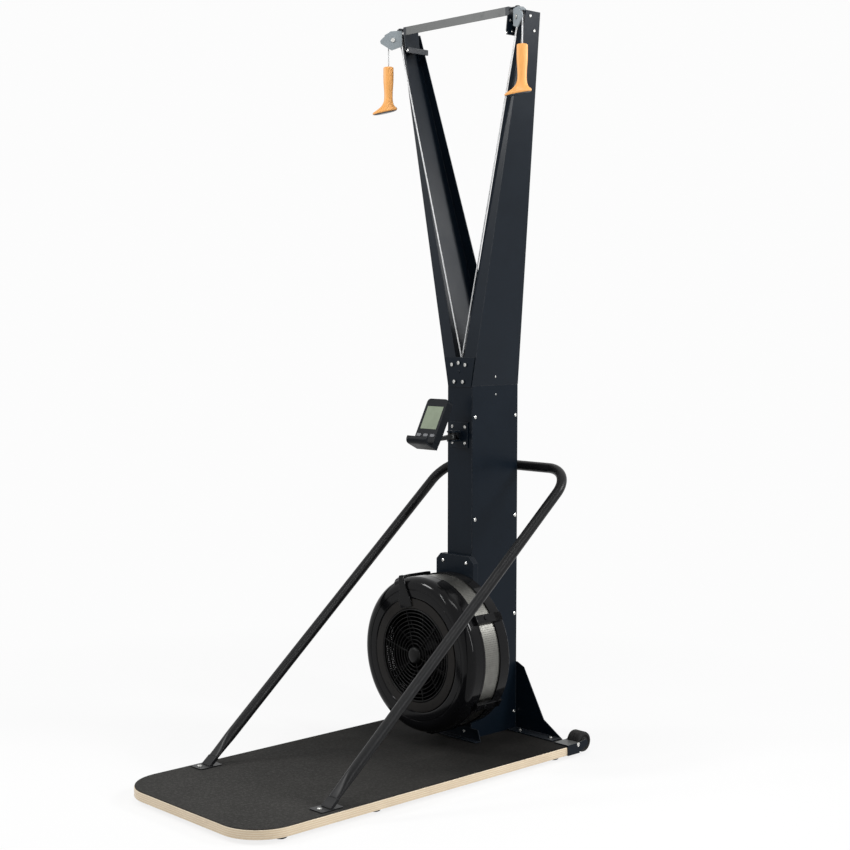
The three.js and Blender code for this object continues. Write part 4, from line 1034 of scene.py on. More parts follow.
class TRAINER_OT_frame(PieceOperator, bpy.types.Operator):
    """Column, spread arms, braces and brackets of folded sheet"""

    bl_idname = "trainer.frame"
    bl_label = "Frame"

    def crossbar(self):
        """Head plates and the strap between them, which is cut free to take a lighter paint: a
        painted sheen on the strap's front.
        """
        head = copy_of("crossbar", "crossbar_sheet")
        reach, strap_low, strap_back = 0.205, ARM_TOP - 13.5 * MM, FRONT_Y - 24 * MM
        for x in (-reach, reach):
            with Editing(head) as edit:
                edit.all()
                bpy.ops.mesh.bisect(plane_co=(x, 0, 0), plane_no=(1, 0, 0))
        rounded(head, 1.1 * MM, 3)
        dressed(smooth(head), "base", "frame_paint", "frame_paint", "crossbar")

        def strap(face):
            x, y, z = face.center
            return z > strap_low and abs(x) < reach and y < strap_back

        # The strap's front faces take the lighter paint: a painted sheen.
        second_finish(head, "strap_paint", strap)

    def execute(self, context):
        sizes = context.scene.trainer_sheet
        for part in ("front", "rear"):
            folded_sheet(f"column_{part}", f"column_{part}_channel", "base",
                         edge=sizes.fold, segments=3)
        for side, _ in SIDES:
            folded_sheet(f"column_side_{side}", f"column_side_plate_{side}", "base")
            folded_sheet(f"arm_{side}", f"arm_channel_{side}", "base", "arm_paint",
                         edge=1.1 * MM, segments=3)
            bracket = folded_sheet(f"wheel_bracket_{side}", f"wheel_bracket_sheet_{side}", "base")
            # The bracket's upward faces take the lighter paint: a painted highlight on its top.
            second_finish(bracket, "strap_paint", lambda face: face.normal.z > 0.7)
        for node in ("splice_plate", "rear_brace", "front_bracket", "fan_mount", "console_plate"):
            folded_sheet(node, f"{node}_sheet", "base", edge=0.9 * MM)
        self.crossbar()
        return {"FINISHED"}


class TRAINER_OT_fasteners(PieceOperator, bpy.types.Operator):
    """Screws and bolts of the column, arms and brackets"""

    bl_idname = "trainer.fasteners"
    bl_label = "Fasteners"

    def execute(self, context):
        screw = context.scene.trainer_sheet.screw_radius
        splice_y = (low("splice_plate").y - FRONT_Y) / MM
        spots = [(-28, 1157.5), (28, 1157.5), (0, 1163), (-18, 1107), (18, 1107)]
        fastener_set("splice_bolts", "base", in_row([(x, splice_y, z) for x, z in spots], FORWARD),
                     5.4 * MM, 3.0 * MM)
        for side, sign in SIDES:
            self.one_side(side, sign, screw)
        spots = [(-26, -3.3, 61), (26, -3.3, 61)]
        fastener_set("front_bracket_bolts", "base", in_row(spots, FORWARD), 4.6 * MM, 2.6 * MM)
        mount_y = (low("fan_mount").y - FRONT_Y) / MM
        spots = [(-48.5, mount_y, 571), (48.5, mount_y, 571)]
        fastener_set("fan_mount_bolts", "base", in_row(spots, FORWARD), screw, 2.6 * MM)
        spots = [(x, -4.3, z) for x in (-26, 26) for z in (973.5, 926)]
        fastener_set("console_plate_bolts", "base", in_row(spots, FORWARD), 4.8 * MM, 2.8 * MM)
        aside = Vector((0.72, -0.694, 0))
        spot = at(-8, -25, 945.9) + aside * 14.6 * MM
        fastener_set("console_pivot_bolt", "console_arm", [(spot, aside)], 6.5 * MM, 3.0 * MM,
                     "strap_paint")
        return {"FINISHED"}

    def one_side(self, side, sign, screw):
        """The fasteners that each side has; the arms' lean outwards above the column."""
        face, outwards = COLUMN_HALF / MM, (sign, 0, 0)
        spots = [(sign * face, y, z) for z in (1003, 698.4, 396.7, 93.5) for y in (14, 187)]
        fastener_set(f"side_screws_{side}", "base", in_row(spots, outwards), screw, 2.4 * MM)

        lean = (high("arm_right").x - COLUMN_HALF) / (ARM_TOP - COLUMN_TOP)
        spots = [(sign * (face + lean * (z - COLUMN_TOP / MM)), y, z)
                 for y, z in ((94, 1120.7), (19.2, 2142.1), (44.2, 2104.8))]
        on_web = in_row(spots, (sign, 0, -lean))
        below = in_row([(sign * face, 100.7, 1068.5)], outwards)
        fastener_set(f"web_screw_{side}", "base", on_web[:1] + below, 2.8 * MM, 1.4 * MM)
        fastener_set(f"arm_bolts_{side}", "base", on_web[1:], 4.6 * MM, 2.6 * MM)

        fastener_set(f"head_front_bolt_{side}", "base",
                     in_row([(sign * 205.5, -22, 2099)], FORWARD), 4.4 * MM, 2.6 * MM)
        spots = [(sign * x, y, z) for x, y, z in
                 ((213.25, -17, 2130.4), (213.29, -2.3, 2130.7), (209.8, -5.3, 2101.4))]
        fastener_set(f"head_plate_bolts_{side}", "base", in_row(spots, (sign * 0.993, 0, -0.118)),
                     3.4 * MM, 1.8 * MM)
        spots = [(sign * 87, 177, 43.3), (sign * 210, 177, 43.3)]
        fastener_set(f"brace_bolts_{side}", "base", in_row(spots, UPWARD), 6.2 * MM, 3.6 * MM)

        bracket, wheel = f"wheel_bracket_{side}", f"wheel_{side}"
        outer = high(bracket).x if sign > 0 else low(bracket).x
        spot = Vector((outer, middle(bracket).y, middle(wheel).z))
        fastener_set(f"wheel_bolt_{side}", wheel, [(spot, outwards)], 6.0 * MM, 3.2 * MM)


class TRAINER_OT_handrail(PieceOperator, bpy.types.Operator):
    """Bent handrail tube with its flattened feet"""

    bl_idname = "trainer.handrail"
    bl_label = "Handrail"

    def execute(self, context):
        sizes = context.scene.trainer_rail
        radius, bend, slope = sizes.radius / MM, sizes.bend / MM, sizes.slope
        run = 1 / math.hypot(1, slope)
        half_width = high("rail_tube").x / MM - radius
        clear, steps = 0.3, 24
        back = (high("column_rear").y - FRONT_Y) / MM + clear + radius
        foot_y, foot_z, end_height = -736, 42, 22
        on_deck = DECK_TOP / MM + clear

        def spot(x, y):
            """A place on the slope that the whole rail lies in."""
            return at(x, y, foot_z + slope * (y - foot_y))

        start = foot_y + (end_height + on_deck - foot_z) / slope
        bend_y = back - bend * run
        path = [spot(half_width, start + (bend_y - start) * k / steps) for k in range(steps + 1)]
        for k in range(1, steps + 1):
            turn = math.pi / 2 * k / steps
            path.append(spot(half_width - bend * (1 - math.cos(turn)),
                             bend_y + bend * run * math.sin(turn)))
        other = [Vector((-p.x, p.y, p.z)) for p in reversed(path)]
        route = path + other
        reach = [0.0]
        for p, q in zip(route, route[1:]):
            reach.append(reach[-1] + (q - p).length)
        normal = Vector((0, -slope, 1)).normalized()
        rings = [self.ring(*stop, normal, sizes.radius) for stop in self.finer(route, reach)]
        tube = lofted("handrail_tube", rings)
        smooth(tube, math.radians(50))
        dressed(tube, "base", "rail_paint", "tube_paint", "rail_tube")
        for side, sign in SIDES:
            self.foot(side, sign, path[0], normal, slope)
        return {"FINISHED"}

    def finer(self, route, reach):
        """Points, tangents and distances to an end in pressed lengths, closer together there."""
        total, flat, steps = reach[-1], 0.085, 12
        stops = [flat * k / steps for k in range(steps)]
        stops += [r for r in reach if flat <= r <= total - flat]
        stops += [total - flat * k / steps for k in reversed(range(steps))]
        i = 0
        for stop in stops:
            while i < len(route) - 2 and reach[i + 1] < stop:
                i += 1
            share = (stop - reach[i]) / (reach[i + 1] - reach[i])
            point = route[i].lerp(route[i + 1], share)
            before = route[max(i - 1, 0)] if share < 0.01 else route[i]
            yield point, (route[i + 1] - before).normalized(), min(stop, total - stop) / flat

    def ring(self, point, tangent, near, normal, radius):
        """A circle that is pressed flat towards the tube's ends."""
        across = tangent.cross(normal).normalized()
        t = min(1.0, near)
        ease = t * t * (3 - 2 * t)
        wide, thick, power = (end + (1 - end) * ease for end in (1.24, 0.36, 0.62))
        loop, sides = [], 40
        for k in range(sides):
            c, s = math.cos(math.tau * k / sides), math.sin(math.tau * k / sides)
            x = math.copysign(abs(c) ** power, c) * (radius * wide)
            z = math.copysign(abs(s) ** power, s) * (radius * thick)
            loop.append(point + across * x + normal * z)
        return loop

    def foot(self, side, sign, start, normal, slope):
        """The flattened end goes on as a strip that bends flat onto the deck, with a domed bolt."""
        node = f"rail_foot_{side}"
        bottom, top = low(node), high(node)
        thick, wide = 3 * MM, 18.4 * MM
        down = Vector((0, -1, -slope)).normalized()
        x = sign * start.x
        line = [Vector((x, start.y, start.z)) + down * (0.0004 + 0.004 * k) for k in range(8)]
        line = [p for p in line if p.z > bottom.z + 7 * MM]
        corners = ((-wide, -5 * MM), (wide, -5 * MM), (wide, 5 * MM), (-wide, 5 * MM))
        rings = [[p + Vector((half, 0, 0)) + normal * lift for half, lift in corners] for p in line]
        last = line[-1]
        foot_y = last.y - (last.z - bottom.z - thick / 2) / slope
        edges = ((-wide, 3.6, -1.6), (wide, 3.6, -1.6), (wide, -3.8, 2.0), (-wide, -3.8, 2.0))
        for lift, back in ((4.2, 2.4), (2.4, -1.0)):
            spot = Vector((x, foot_y + back * MM, bottom.z + lift * MM))
            rings.append([spot + Vector((half * 1.06, along * MM, up * MM))
                          for half, along, up in edges])
        strip = rounded(lofted(f"handrail_foot_{side}", rings), 0.9 * MM)
        plate = block("foot_plate", bottom, (top.x, top.y, bottom.z + thick))
        bevel_edges(plate, upright, 6 * MM, segments=5)
        rounded(plate, 0.7 * MM)
        piece = smooth(joined(f"handrail_foot_{side}", [strip, plate]))
        dressed(piece, "base", "rail_paint", "tube_paint", node)
        bolt = Vector((x, bottom.y + 0.3 * (foot_y - bottom.y) + 3 * MM, bottom.z + thick))
        fastener_set(f"handrail_bolt_{side}", "base", [(bolt, UPWARD)], 7.0 * MM, 4.2 * MM)


class TRAINER_OT_heads(PieceOperator, bpy.types.Operator):
    """Swivelling pulley blocks with their pulleys and axles"""

    bl_idname = "trainer.heads"
    bl_label = "Pulley heads"

    def execute(self, context):
        for side, sign in SIDES:
            body, axle, guide = f"block_{side}", f"head_axle_{side}", f"guide_pulley_{side}"
            folded_sheet(f"pulley_block_{side}", f"head_block_{side}", body, "block_paint",
                         "block_steel", edge=0.9 * MM, segments=3)
            bolt = rounded(copy_of(axle, f"head_bolt_{side}"), 0.7 * MM)
            dressed(smooth(bolt), body, "zinc", "steel", axle)
            self.pulley(side, sign)
            wheel = rounded(copy_of(guide, f"guide_wheel_{side}"), 0.4 * MM)
            dressed(smooth(wheel), f"guide_{side}", "pulley_plastic", "black_plastic", guide)
        return {"FINISHED"}

    def pulley(self, side, sign):
        """A grooved pulley with a thin web between its hub and its rim."""
        rim, half, neck = 21.5 * MM, 6.5 * MM, 2.3 * MM
        web = half * 0.72
        near = [(4.3 * MM, -half), (9 * MM, -half), (10 * MM, -web), (rim - 4 * MM, -web),
                (rim - 3 * MM, -half), (rim - 0.5 * MM, -half), (rim, -half + 0.5 * MM),
                (rim, -3.4 * MM)]
        groove = [
            (PULLEY_PITCH * MM - 2.35 * MM + neck * (1 - math.cos(t)), neck * math.sin(t))
            for t in (math.radians(a) for a in range(-75, 76, 15))
        ]
        block_axes = block_place(sign)
        place = block_axes @ Matrix.Translation((0, -PULLEY_PITCH * MM, HEAD_Z * MM))
        axis = (block_axes.to_3x3() @ Vector((1, 0, 0))).normalized()
        wheel = turned(f"head_wheel_{side}", mirrored(near, groove), 64, place.translation, axis)
        node = f"head_pulley_{side}"
        dressed(smooth(wheel), node, "pulley_plastic", "black_plastic", node)


class TRAINER_OT_cords(PieceOperator, bpy.types.Operator):
    """Drive cords from the drums over the pulley heads to the handles"""

    bl_idname = "trainer.cords"
    bl_label = "Cords"

    def execute(self, context):
        for side, sign in SIDES:
            self.cord(side, sign, context.scene.trainer_cord.radius)
        return {"FINISHED"}

    def cord(self, side, sign, radius):
        """One cord in three lengths: up the arm, over its pulley and down to the handle."""
        place = block_place(sign)
        run = swept(f"cord_up_{side}", self.route(side, sign, place), radius, 12)
        dressed(run, "base", "cord_braid", "cord", f"cord_run_{side}")

        wrap, steps = [], 40
        for k in range(steps + 1):
            turn = math.pi * k / steps
            wrap.append(place @ (Vector((0, -PULLEY_PITCH + PULLEY_PITCH * math.cos(turn),
                                         HEAD_Z + PULLEY_PITCH * math.sin(turn))) * MM))
        over = swept(f"cord_over_{side}", wrap, radius, 14)
        dressed(over, f"block_{side}", "cord_braid", "cord", f"cord_wrap_{side}")

        node = f"cord_drop_{side}"
        top, bottom = high(node), low(node)
        x, y = middle(node).xy
        hang = [(x, y, top.z + (bottom.z - top.z) * k / steps) for k in range(steps + 1)]
        drop = swept(f"cord_down_{side}", hang, radius, 14)
        drop.data.materials.append(finish_named("cord_braid"))
        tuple(hang[0])
        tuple(hang[-1])
        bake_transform(drop)
        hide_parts(node)

    def route(self, side, sign, place):
        """From the drum, round the guide pulley and up the arm to the block's swivel axis."""
        pitch, drum_reach, entry, end = 12, 32.05, 12, 0.875
        axle_z = middle("guide_pulley_left").z / MM
        pivot_x = abs(place.translation.x) / MM
        pivot_y, guide_y, drum_y = (
            (y - FRONT_Y) / MM for y in
            (place.translation.y, middle(f"guide_pulley_{side}").y, middle(f"cord_drum_{side}").y)
        )
        lean = math.atan((pivot_x + pitch) / (HEAD_Z - entry - axle_z))
        path = [at(-sign * drum_reach, drum_y, FAN.z / MM), at(-sign * pitch, guide_y, axle_z)]
        for k in range(1, 5):
            turn = lean * k / 4
            path.append(at(-sign * pitch * math.cos(turn), guide_y,
                           axle_z + pitch * math.sin(turn)))
        return path + [at(sign * pivot_x, pivot_y, HEAD_Z - below) for below in (entry, end)]


class TRAINER_OT_handles(PieceOperator, bpy.types.Operator):
    """Moulded pull handles with a flared foot"""

    bl_idname = "trainer.handles"
    bl_label = "Handles"

    def execute(self, context):
        for side, yaw in (("left", 52), ("right", 44)):
            self.handle(side, yaw)
        return {"FINISHED"}

    def handle(self, side, yaw):
        """A grip lofted from top to foot; the foot reaches ahead and down and has a dark sole."""
        length, long, wide, reach, tilt, sides = 140, 15.5, 11, 11, 0.19, 48

        # Share of the length, share of the reach, half length, half width, tilt
        stations = [
            [0, 0, long * 0.50, wide * 0.50, 0], [0.006, 0, long * 0.80, wide * 0.80, 0],
            [0.022, 0, long * 0.96, wide * 0.96, 0], [0.05, 0, long, wide, 0],
            [0.3, 0, long, wide, 0], [0.55, 0, 13.2, 9.6, 0], [0.70, 0.02, 13.4, 9.8, 0.02],
            [0.79, 0.12, 16.4, 10.8, 0.06], [0.85, 0.32, 21.8, 12.2, 0.11],
            [0.893, 0.62, 29.0, 13.6, 0.16], [0.922, 0.90, 34.9, 15.0, tilt],
            [0.942, 1, 37.6, 15.9, tilt], [0.955, 1, 38, 16, tilt], [0.965, 1, 37.6, 15.8, tilt],
            [0.985, 1, 34.7, 14.2, tilt], [0.997, 1, 28, 11, tilt], [1, 1, 20, 7, tilt],
        ]
        rings = []
        for down, shift, half_long, half_wide, slope in eased(stations, 5):
            ring = []
            for k in range(sides):
                turn = math.tau * k / sides
                ahead = half_long * math.cos(turn)
                ring.append((half_wide * math.sin(turn) * MM, (-ahead - shift * reach) * MM,
                             (-down * length - slope * ahead) * MM))
            rings.append(ring)
        grip = lofted(f"pull_handle_{side}", rings)
        x, y = middle(f"cord_drop_{side}").xy
        turned_out = Matrix.Rotation(math.radians(-yaw), 4, "Z")
        place = Matrix.Translation((x, y, HANDLE_TOP * MM)) @ turned_out
        grip.data.transform(place)
        smooth(grip, math.radians(60))
        dressed(grip, f"handle_{side}", "grip_plastic", "orange_grip", f"handle_{side}")
        back, sole_share = place.inverted(), 0.96
        sole = sole_share * length * MM

        def underneath(face):
            spot = back @ face.center
            return spot.z - tilt * spot.y < -sole

        second_finish(grip, "grip_sole", underneath)


def round_fan(name, profile, steps=160):
    """A piece turned about the fan's axis from (radius, back) points in millimetres."""
    return turned(name, [(r * MM, -y * MM) for r, y in profile], steps, FAN, FORWARD)


def hoop(name, inner, outer, front, back, steps=160):
    """A ring of rectangular section about the fan's axis, in millimetres."""
    return round_fan(name, [(inner, front), (outer, front), (outer, back), (inner, back)], steps)


def spoked(angles):
    """Places round the fan's axis, at angles in degrees from its right-hand side."""
    return [Matrix.Translation(FAN) @ Matrix.Rotation(-math.radians(a), 4, "Y") for a in angles]


class TRAINER_OT_fan(PieceOperator, bpy.types.Operator):
    """Fan housing: rear shell, perforated band, cover, grille, damper and wheel"""

    bl_idname = "trainer.fan"
    bl_label = "Fan"

    # Where the pieces stand round the fan, in degrees
    lug_angles = (-33, 32, 152, 212, 272)
    catch_angle = 112
    lever_angle = 104
    spoke_angle = -14

    # The plane of the cover's face, back from the column, and the damper's inner radius
    face_plane = -182
    damper_inner = 138.5

    def shell(self):
        """Rear shell with its lugs and the catch that bridges the band."""
        radius, half = FAN_RADIUS / MM, 13
        back, front = -20.6, -59
        shell = round_fan("fan_rear_shell", [
            (12, back), (radius - 3, back), (radius - 1.2, back - 0.6), (radius, back - 2.4),
            (radius, front + 2.2), (radius + 0.9, front + 1.4), (radius + 0.9, front + 0.2),
            (radius, front), (radius - 3, front), (radius - 3, back - 4), (radius - 5, back - 3),
            (12, back - 3),
        ])
        corner = ((radius + 12) * MM, front / 2 * MM, half * MM)
        lug = block("fan_lug", ((radius - 1.5) * MM, front * MM, -half * MM), corner)
        bridge = block("fan_bridge", ((radius + 0.6) * MM, -132 * MM, -half * MM), corner)
        boss = turned("fan_boss", [(0, 0), (6.5 * MM, 0), (6 * MM, 3 * MM), (0, 3 * MM)], 28,
                      ((radius + 11.5) * MM, -95 * MM, 0), (1, 0, 0))
        mount = joined("fan_lug", [rounded(lug, 2.2 * MM, 3), rounded(bridge, 2.2 * MM, 3), boss])
        mounts = copies(mount, spoked(self.lug_angles))
        rings = [
            [Vector((inner, y, -half)) * MM, Vector((outer, y, -half)) * MM,
             Vector((outer, y, half)) * MM, Vector((inner, y, half)) * MM]
            for y, inner, outer in ((-46, 228, 237), (-59, 228, 238), (-131, 228.6, 238),
                                    (-158, 226.5, 236.5), (-170, 221, 231), (-178.5, 212.5, 222))
        ]
        catch = rounded(lofted("fan_catch", rings), 2.0 * MM, 3)
        catch.data.transform(spoked([self.catch_angle])[0])
        piece = joined("fan_rear_shell", [shell, *mounts, catch])
        dressed(smooth(piece), "base", "gloss_shell", "shell_plastic", "fan_shell")

    def band(self, pitch):
        """Perforated band: a flat grid whose holes are inset and deleted, then rolled round."""
        radius, front, back = FAN_RADIUS / MM - 3.3, -123, -55
        around, rows = round(math.tau * radius / pitch), round((back - front) / pitch)
        piece = added("fan_mesh_band", bpy.ops.mesh.primitive_grid_add, x_subdivisions=around,
                      y_subdivisions=rows, size=1)
        settled(piece)
        for vertex in piece.data.vertices:
            vertex.co.x = vertex.co.x * around * pitch
            vertex.co.y = vertex.co.y * (back - front)
        with Editing(piece) as edit:
            edit.all()
            bpy.ops.mesh.inset(thickness=pitch * 0.355, use_individual=True)
            bpy.ops.mesh.delete(type="FACE")
        for vertex in piece.data.vertices:
            turn = math.tau * vertex.co.x / (around * pitch)
            vertex.co = FAN + Vector((
                radius * math.cos(turn), vertex.co.y + (back + front) / 2, radius * math.sin(turn)
            )) * MM
        with Editing(piece) as edit:
            edit.all()
            bpy.ops.mesh.remove_doubles(threshold=1e-5)
            bpy.ops.mesh.normals_make_consistent(inside=False)
        finished_by(piece, "SOLIDIFY", thickness=1.6 * MM, offset=-1)
        dressed(piece, "base", "band_steel", "band_mesh", "fan_band")

        def not_outside(face):
            out = face.center - FAN
            out.y = 0
            return face.normal.dot(out.normalized()) < 0.5

        # The faces that don't face outwards are painted near black: painted shade inside the
        # housing.
        second_finish(piece, "rotor_paint", not_outside)

    def cover(self):
        """Front cover, from its joint with the band over the round shoulder to the opening."""
        radius = FAN_RADIUS / MM
        face, opening, plane, shoulder = radius - 28, radius - 62, self.face_plane, -155
        bend = [
            (face + (radius - face) * math.sin(t), plane + (shoulder - plane) * (1 - math.cos(t)))
            for t in (math.radians(a) for a in range(90, -1, -6))
        ]
        profile = [
            (radius - 3, -119), (radius - 0.6, -119), (radius, -119.6), (radius, -126),
            (radius - 0.8, -126.6), (radius - 0.8, -128), (radius, -128.6), *bend,
            (face - 6, plane), (face - 7, -180.8), (face - 9, -180.8), (face - 10, plane),
            (opening + 6, plane), (opening + 4, -181.6), (opening, -179),
            (opening, -176.2), (opening + 1.5, -175.9), (opening + 1.5, -176), (face, -179),
            (radius - 3, shoulder),
        ]
        cover = round_fan("fan_front_cover", profile)
        ledge = hoop("fan_ledge", self.damper_inner, 169, -179, -176)
        piece = joined("fan_front_cover", [cover, ledge])
        dressed(smooth(piece), "base", "gloss_shell", "shell_plastic", "fan_cover")

    def grille(self, sizes):
        """Rings round a hub cap, on spokes, with a seat in the cover."""
        cap, rim, seat, count = 25, 137, 134, sizes.grille_rings
        pieces = [round_fan("grille_cap", [
            (0, -190), (14, -189.6), (19, -188.6), (22.5, -186.6), (24.4, -183.8), (cap, -181),
            (cap, -178), (0, -178),
        ], 72)]
        for i in range(1, count + 1):
            thick = 1.45 if i < count else 2.6
            centre = cap + (rim - cap) * i / count - thick
            turns = [math.tau * k / 10 for k in range(10)]
            loop = [(centre + thick * math.cos(t), -180.5 + thick * math.sin(t)) for t in turns]
            pieces.append(round_fan(f"grille_ring_{i}", loop, 96))
        pieces.append(hoop("grille_seat", seat, rim, self.face_plane, -173, 96))
        thick, front = 0.95 * MM, (self.face_plane - 0.2) * MM
        path = [(r * MM, front, 0) for r in (20, 60, 100, seat)]
        spoke = swept("grille_spoke", path, thick, 8)
        step = 360 / sizes.grille_spokes
        spokes = spoked([self.spoke_angle + step * i for i in range(sizes.grille_spokes)])
        piece = joined("fan_front_grille", pieces + copies(spoke, spokes))
        dressed(smooth(piece), "base", "grille_plastic", "black_plastic", "fan_grille")

    def damper(self):
        """A ring in the cover's opening, with a lever that narrows towards its end."""
        ring = hoop("damper_ring", self.damper_inner, 165.5, -182.3, -179.3, 128)
        back = self.face_plane - 0.2
        rings = [
            [Vector((out, front, -half)) * MM, Vector((out, front, half)) * MM,
             Vector((out, back, half)) * MM, Vector((out, back, -half)) * MM]
            for out, half, front in ((141, 25, -186), (166, 25, -188.3), (188, 17, -188.3),
                                     (224, 11, -188.3), (236.4, 8.5, -186.4))
        ]
        lever = rounded(lofted("damper_lever", rings), 2.0 * MM, 3)
        lever.data.transform(spoked([self.lever_angle])[0])
        piece = joined("damper_ring", [rounded(ring, 0.7 * MM), lever])
        dressed(smooth(piece), "damper", "damper_plastic", "shell_plastic", "fan_damper")
        proud = FAN.y + (self.face_plane - 0.6) * MM
        second_finish(piece, "gloss_shell", lambda face: face.center.y < proud)

    def execute(self, context):
        sizes = context.scene.trainer_fan
        self.shell()
        self.band(sizes.hole_pitch / MM)
        self.cover()
        self.grille(sizes)
        self.damper()
        # The rotor is painted near black: painted shade inside the housing.
        wheel = rounded(copy_of("fan_wheel", "fan_rotor"), 0.5 * MM)
        dressed(smooth(wheel), "fan_wheel", "rotor_paint", "rotor_metal", "fan_wheel")
        return {"FINISHED"}


class TRAINER_OT_console(PieceOperator, bpy.types.Operator):
    """Console on its swivel arm, with its display and buttons"""

    bl_idname = "trainer.console"
    bl_label = "Console"

    def execute(self, context):
        arm = rounded(copy_of("console_arm", "console_swivel_arm"), 1.2 * MM, 3)
        dressed(smooth(arm), "console_arm", "black_plastic", "black_plastic", "console_arm")
        housing = copy_of("console_housing", "console_case")
        with Editing(housing) as edit:
            edit.all()
            bpy.ops.mesh.quads_convert_to_tris(quad_method="BEAUTY", ngon_method="BEAUTY")
        display = frame["nodes"]["console_screen"].data
        face = next(f.normal.copy() for f in display.polygons if f.normal.y < -0.5)
        plane = max(v.co.dot(face) for v in display.vertices)
        margin, half_seat, deep = 4 * MM, 40.5 * MM, 6 * MM
        lowest, highest = low("console_button_1").z - margin, high("console_screen").z + margin

        def outer(edge):
            """Sharp edges of the case, without those of the display's seat and the keys' seats."""
            spot = centre_of(edge)
            inside = abs(spot.x) < half_seat and lowest < spot.z < highest
            sunk = plane - spot.dot(face) < deep
            return edge.calc_face_angle(0) > FOLD_ANGLE and not (inside and sunk)

        bevel_edges(housing, outer, 2.6 * MM, segments=4)
        rounded(housing, 0.4 * MM)
        dressed(smooth(housing), "console", "satin_shell", "black_plastic", "console_housing")
        screen = rounded(copy_of("console_screen", "console_display"), 0.4 * MM)
        dressed(smooth(screen), "console", "lcd", "lcd", "console_screen")
        for i in range(1, 4):
            node = f"console_button_{i}"
            button = rounded(copy_of(node, f"console_key_{i}"), 1.2 * MM, 4)
            dressed(smooth(button), f"button_{i}", "button_plastic", "grey_button", node)
        return {"FINISHED"}


class TRAINER_OT_wheels(PieceOperator, bpy.types.Operator):
    """Transport wheels"""

    bl_idname = "trainer.wheels"
    bl_label = "Wheels"

    def execute(self, context):
        for side, _ in SIDES:
            node = f"wheel_{side}"
            radius = (high(node).z - low(node).z) / 2
            half = (high(node).x - low(node).x) / 2
            web = half * 0.82
            near = [(5.4 * MM, -half), (13 * MM, -half), (14 * MM, -web), (20 * MM, -web),
                    (21.5 * MM, -half), (radius - 4 * MM, -half),
                    (radius - 1.2 * MM, -half * 0.93), (radius, -half * 0.78)]
            tread = [(radius - deep * MM, half * (rib * 0.4 + step)) for rib in (-1, 0, 1)
                     for deep, step in ((0, -0.10), (1, -0.06), (1, 0.06), (0, 0.10))]
            wheel = turned(f"transport_wheel_{side}", mirrored(near, tread), 72, middle(node),
                           (1, 0, 0))
            dressed(smooth(wheel), node, "rubber", "black_plastic", node)
        return {"FINISHED"}


class TRAINER_OT_carried(PieceOperator, bpy.types.Operator):
    """Finishes for the frame's pieces that stay as they are"""

    bl_idname = "trainer.carried"
    bl_label = "Inner pieces"

    def execute(self, context):
        carried_over("shaft_carrier", "steel")
        for side, _ in SIDES:
            carried_over(f"cord_drum_{side}", "pulley_plastic")
        return {"FINISHED"}


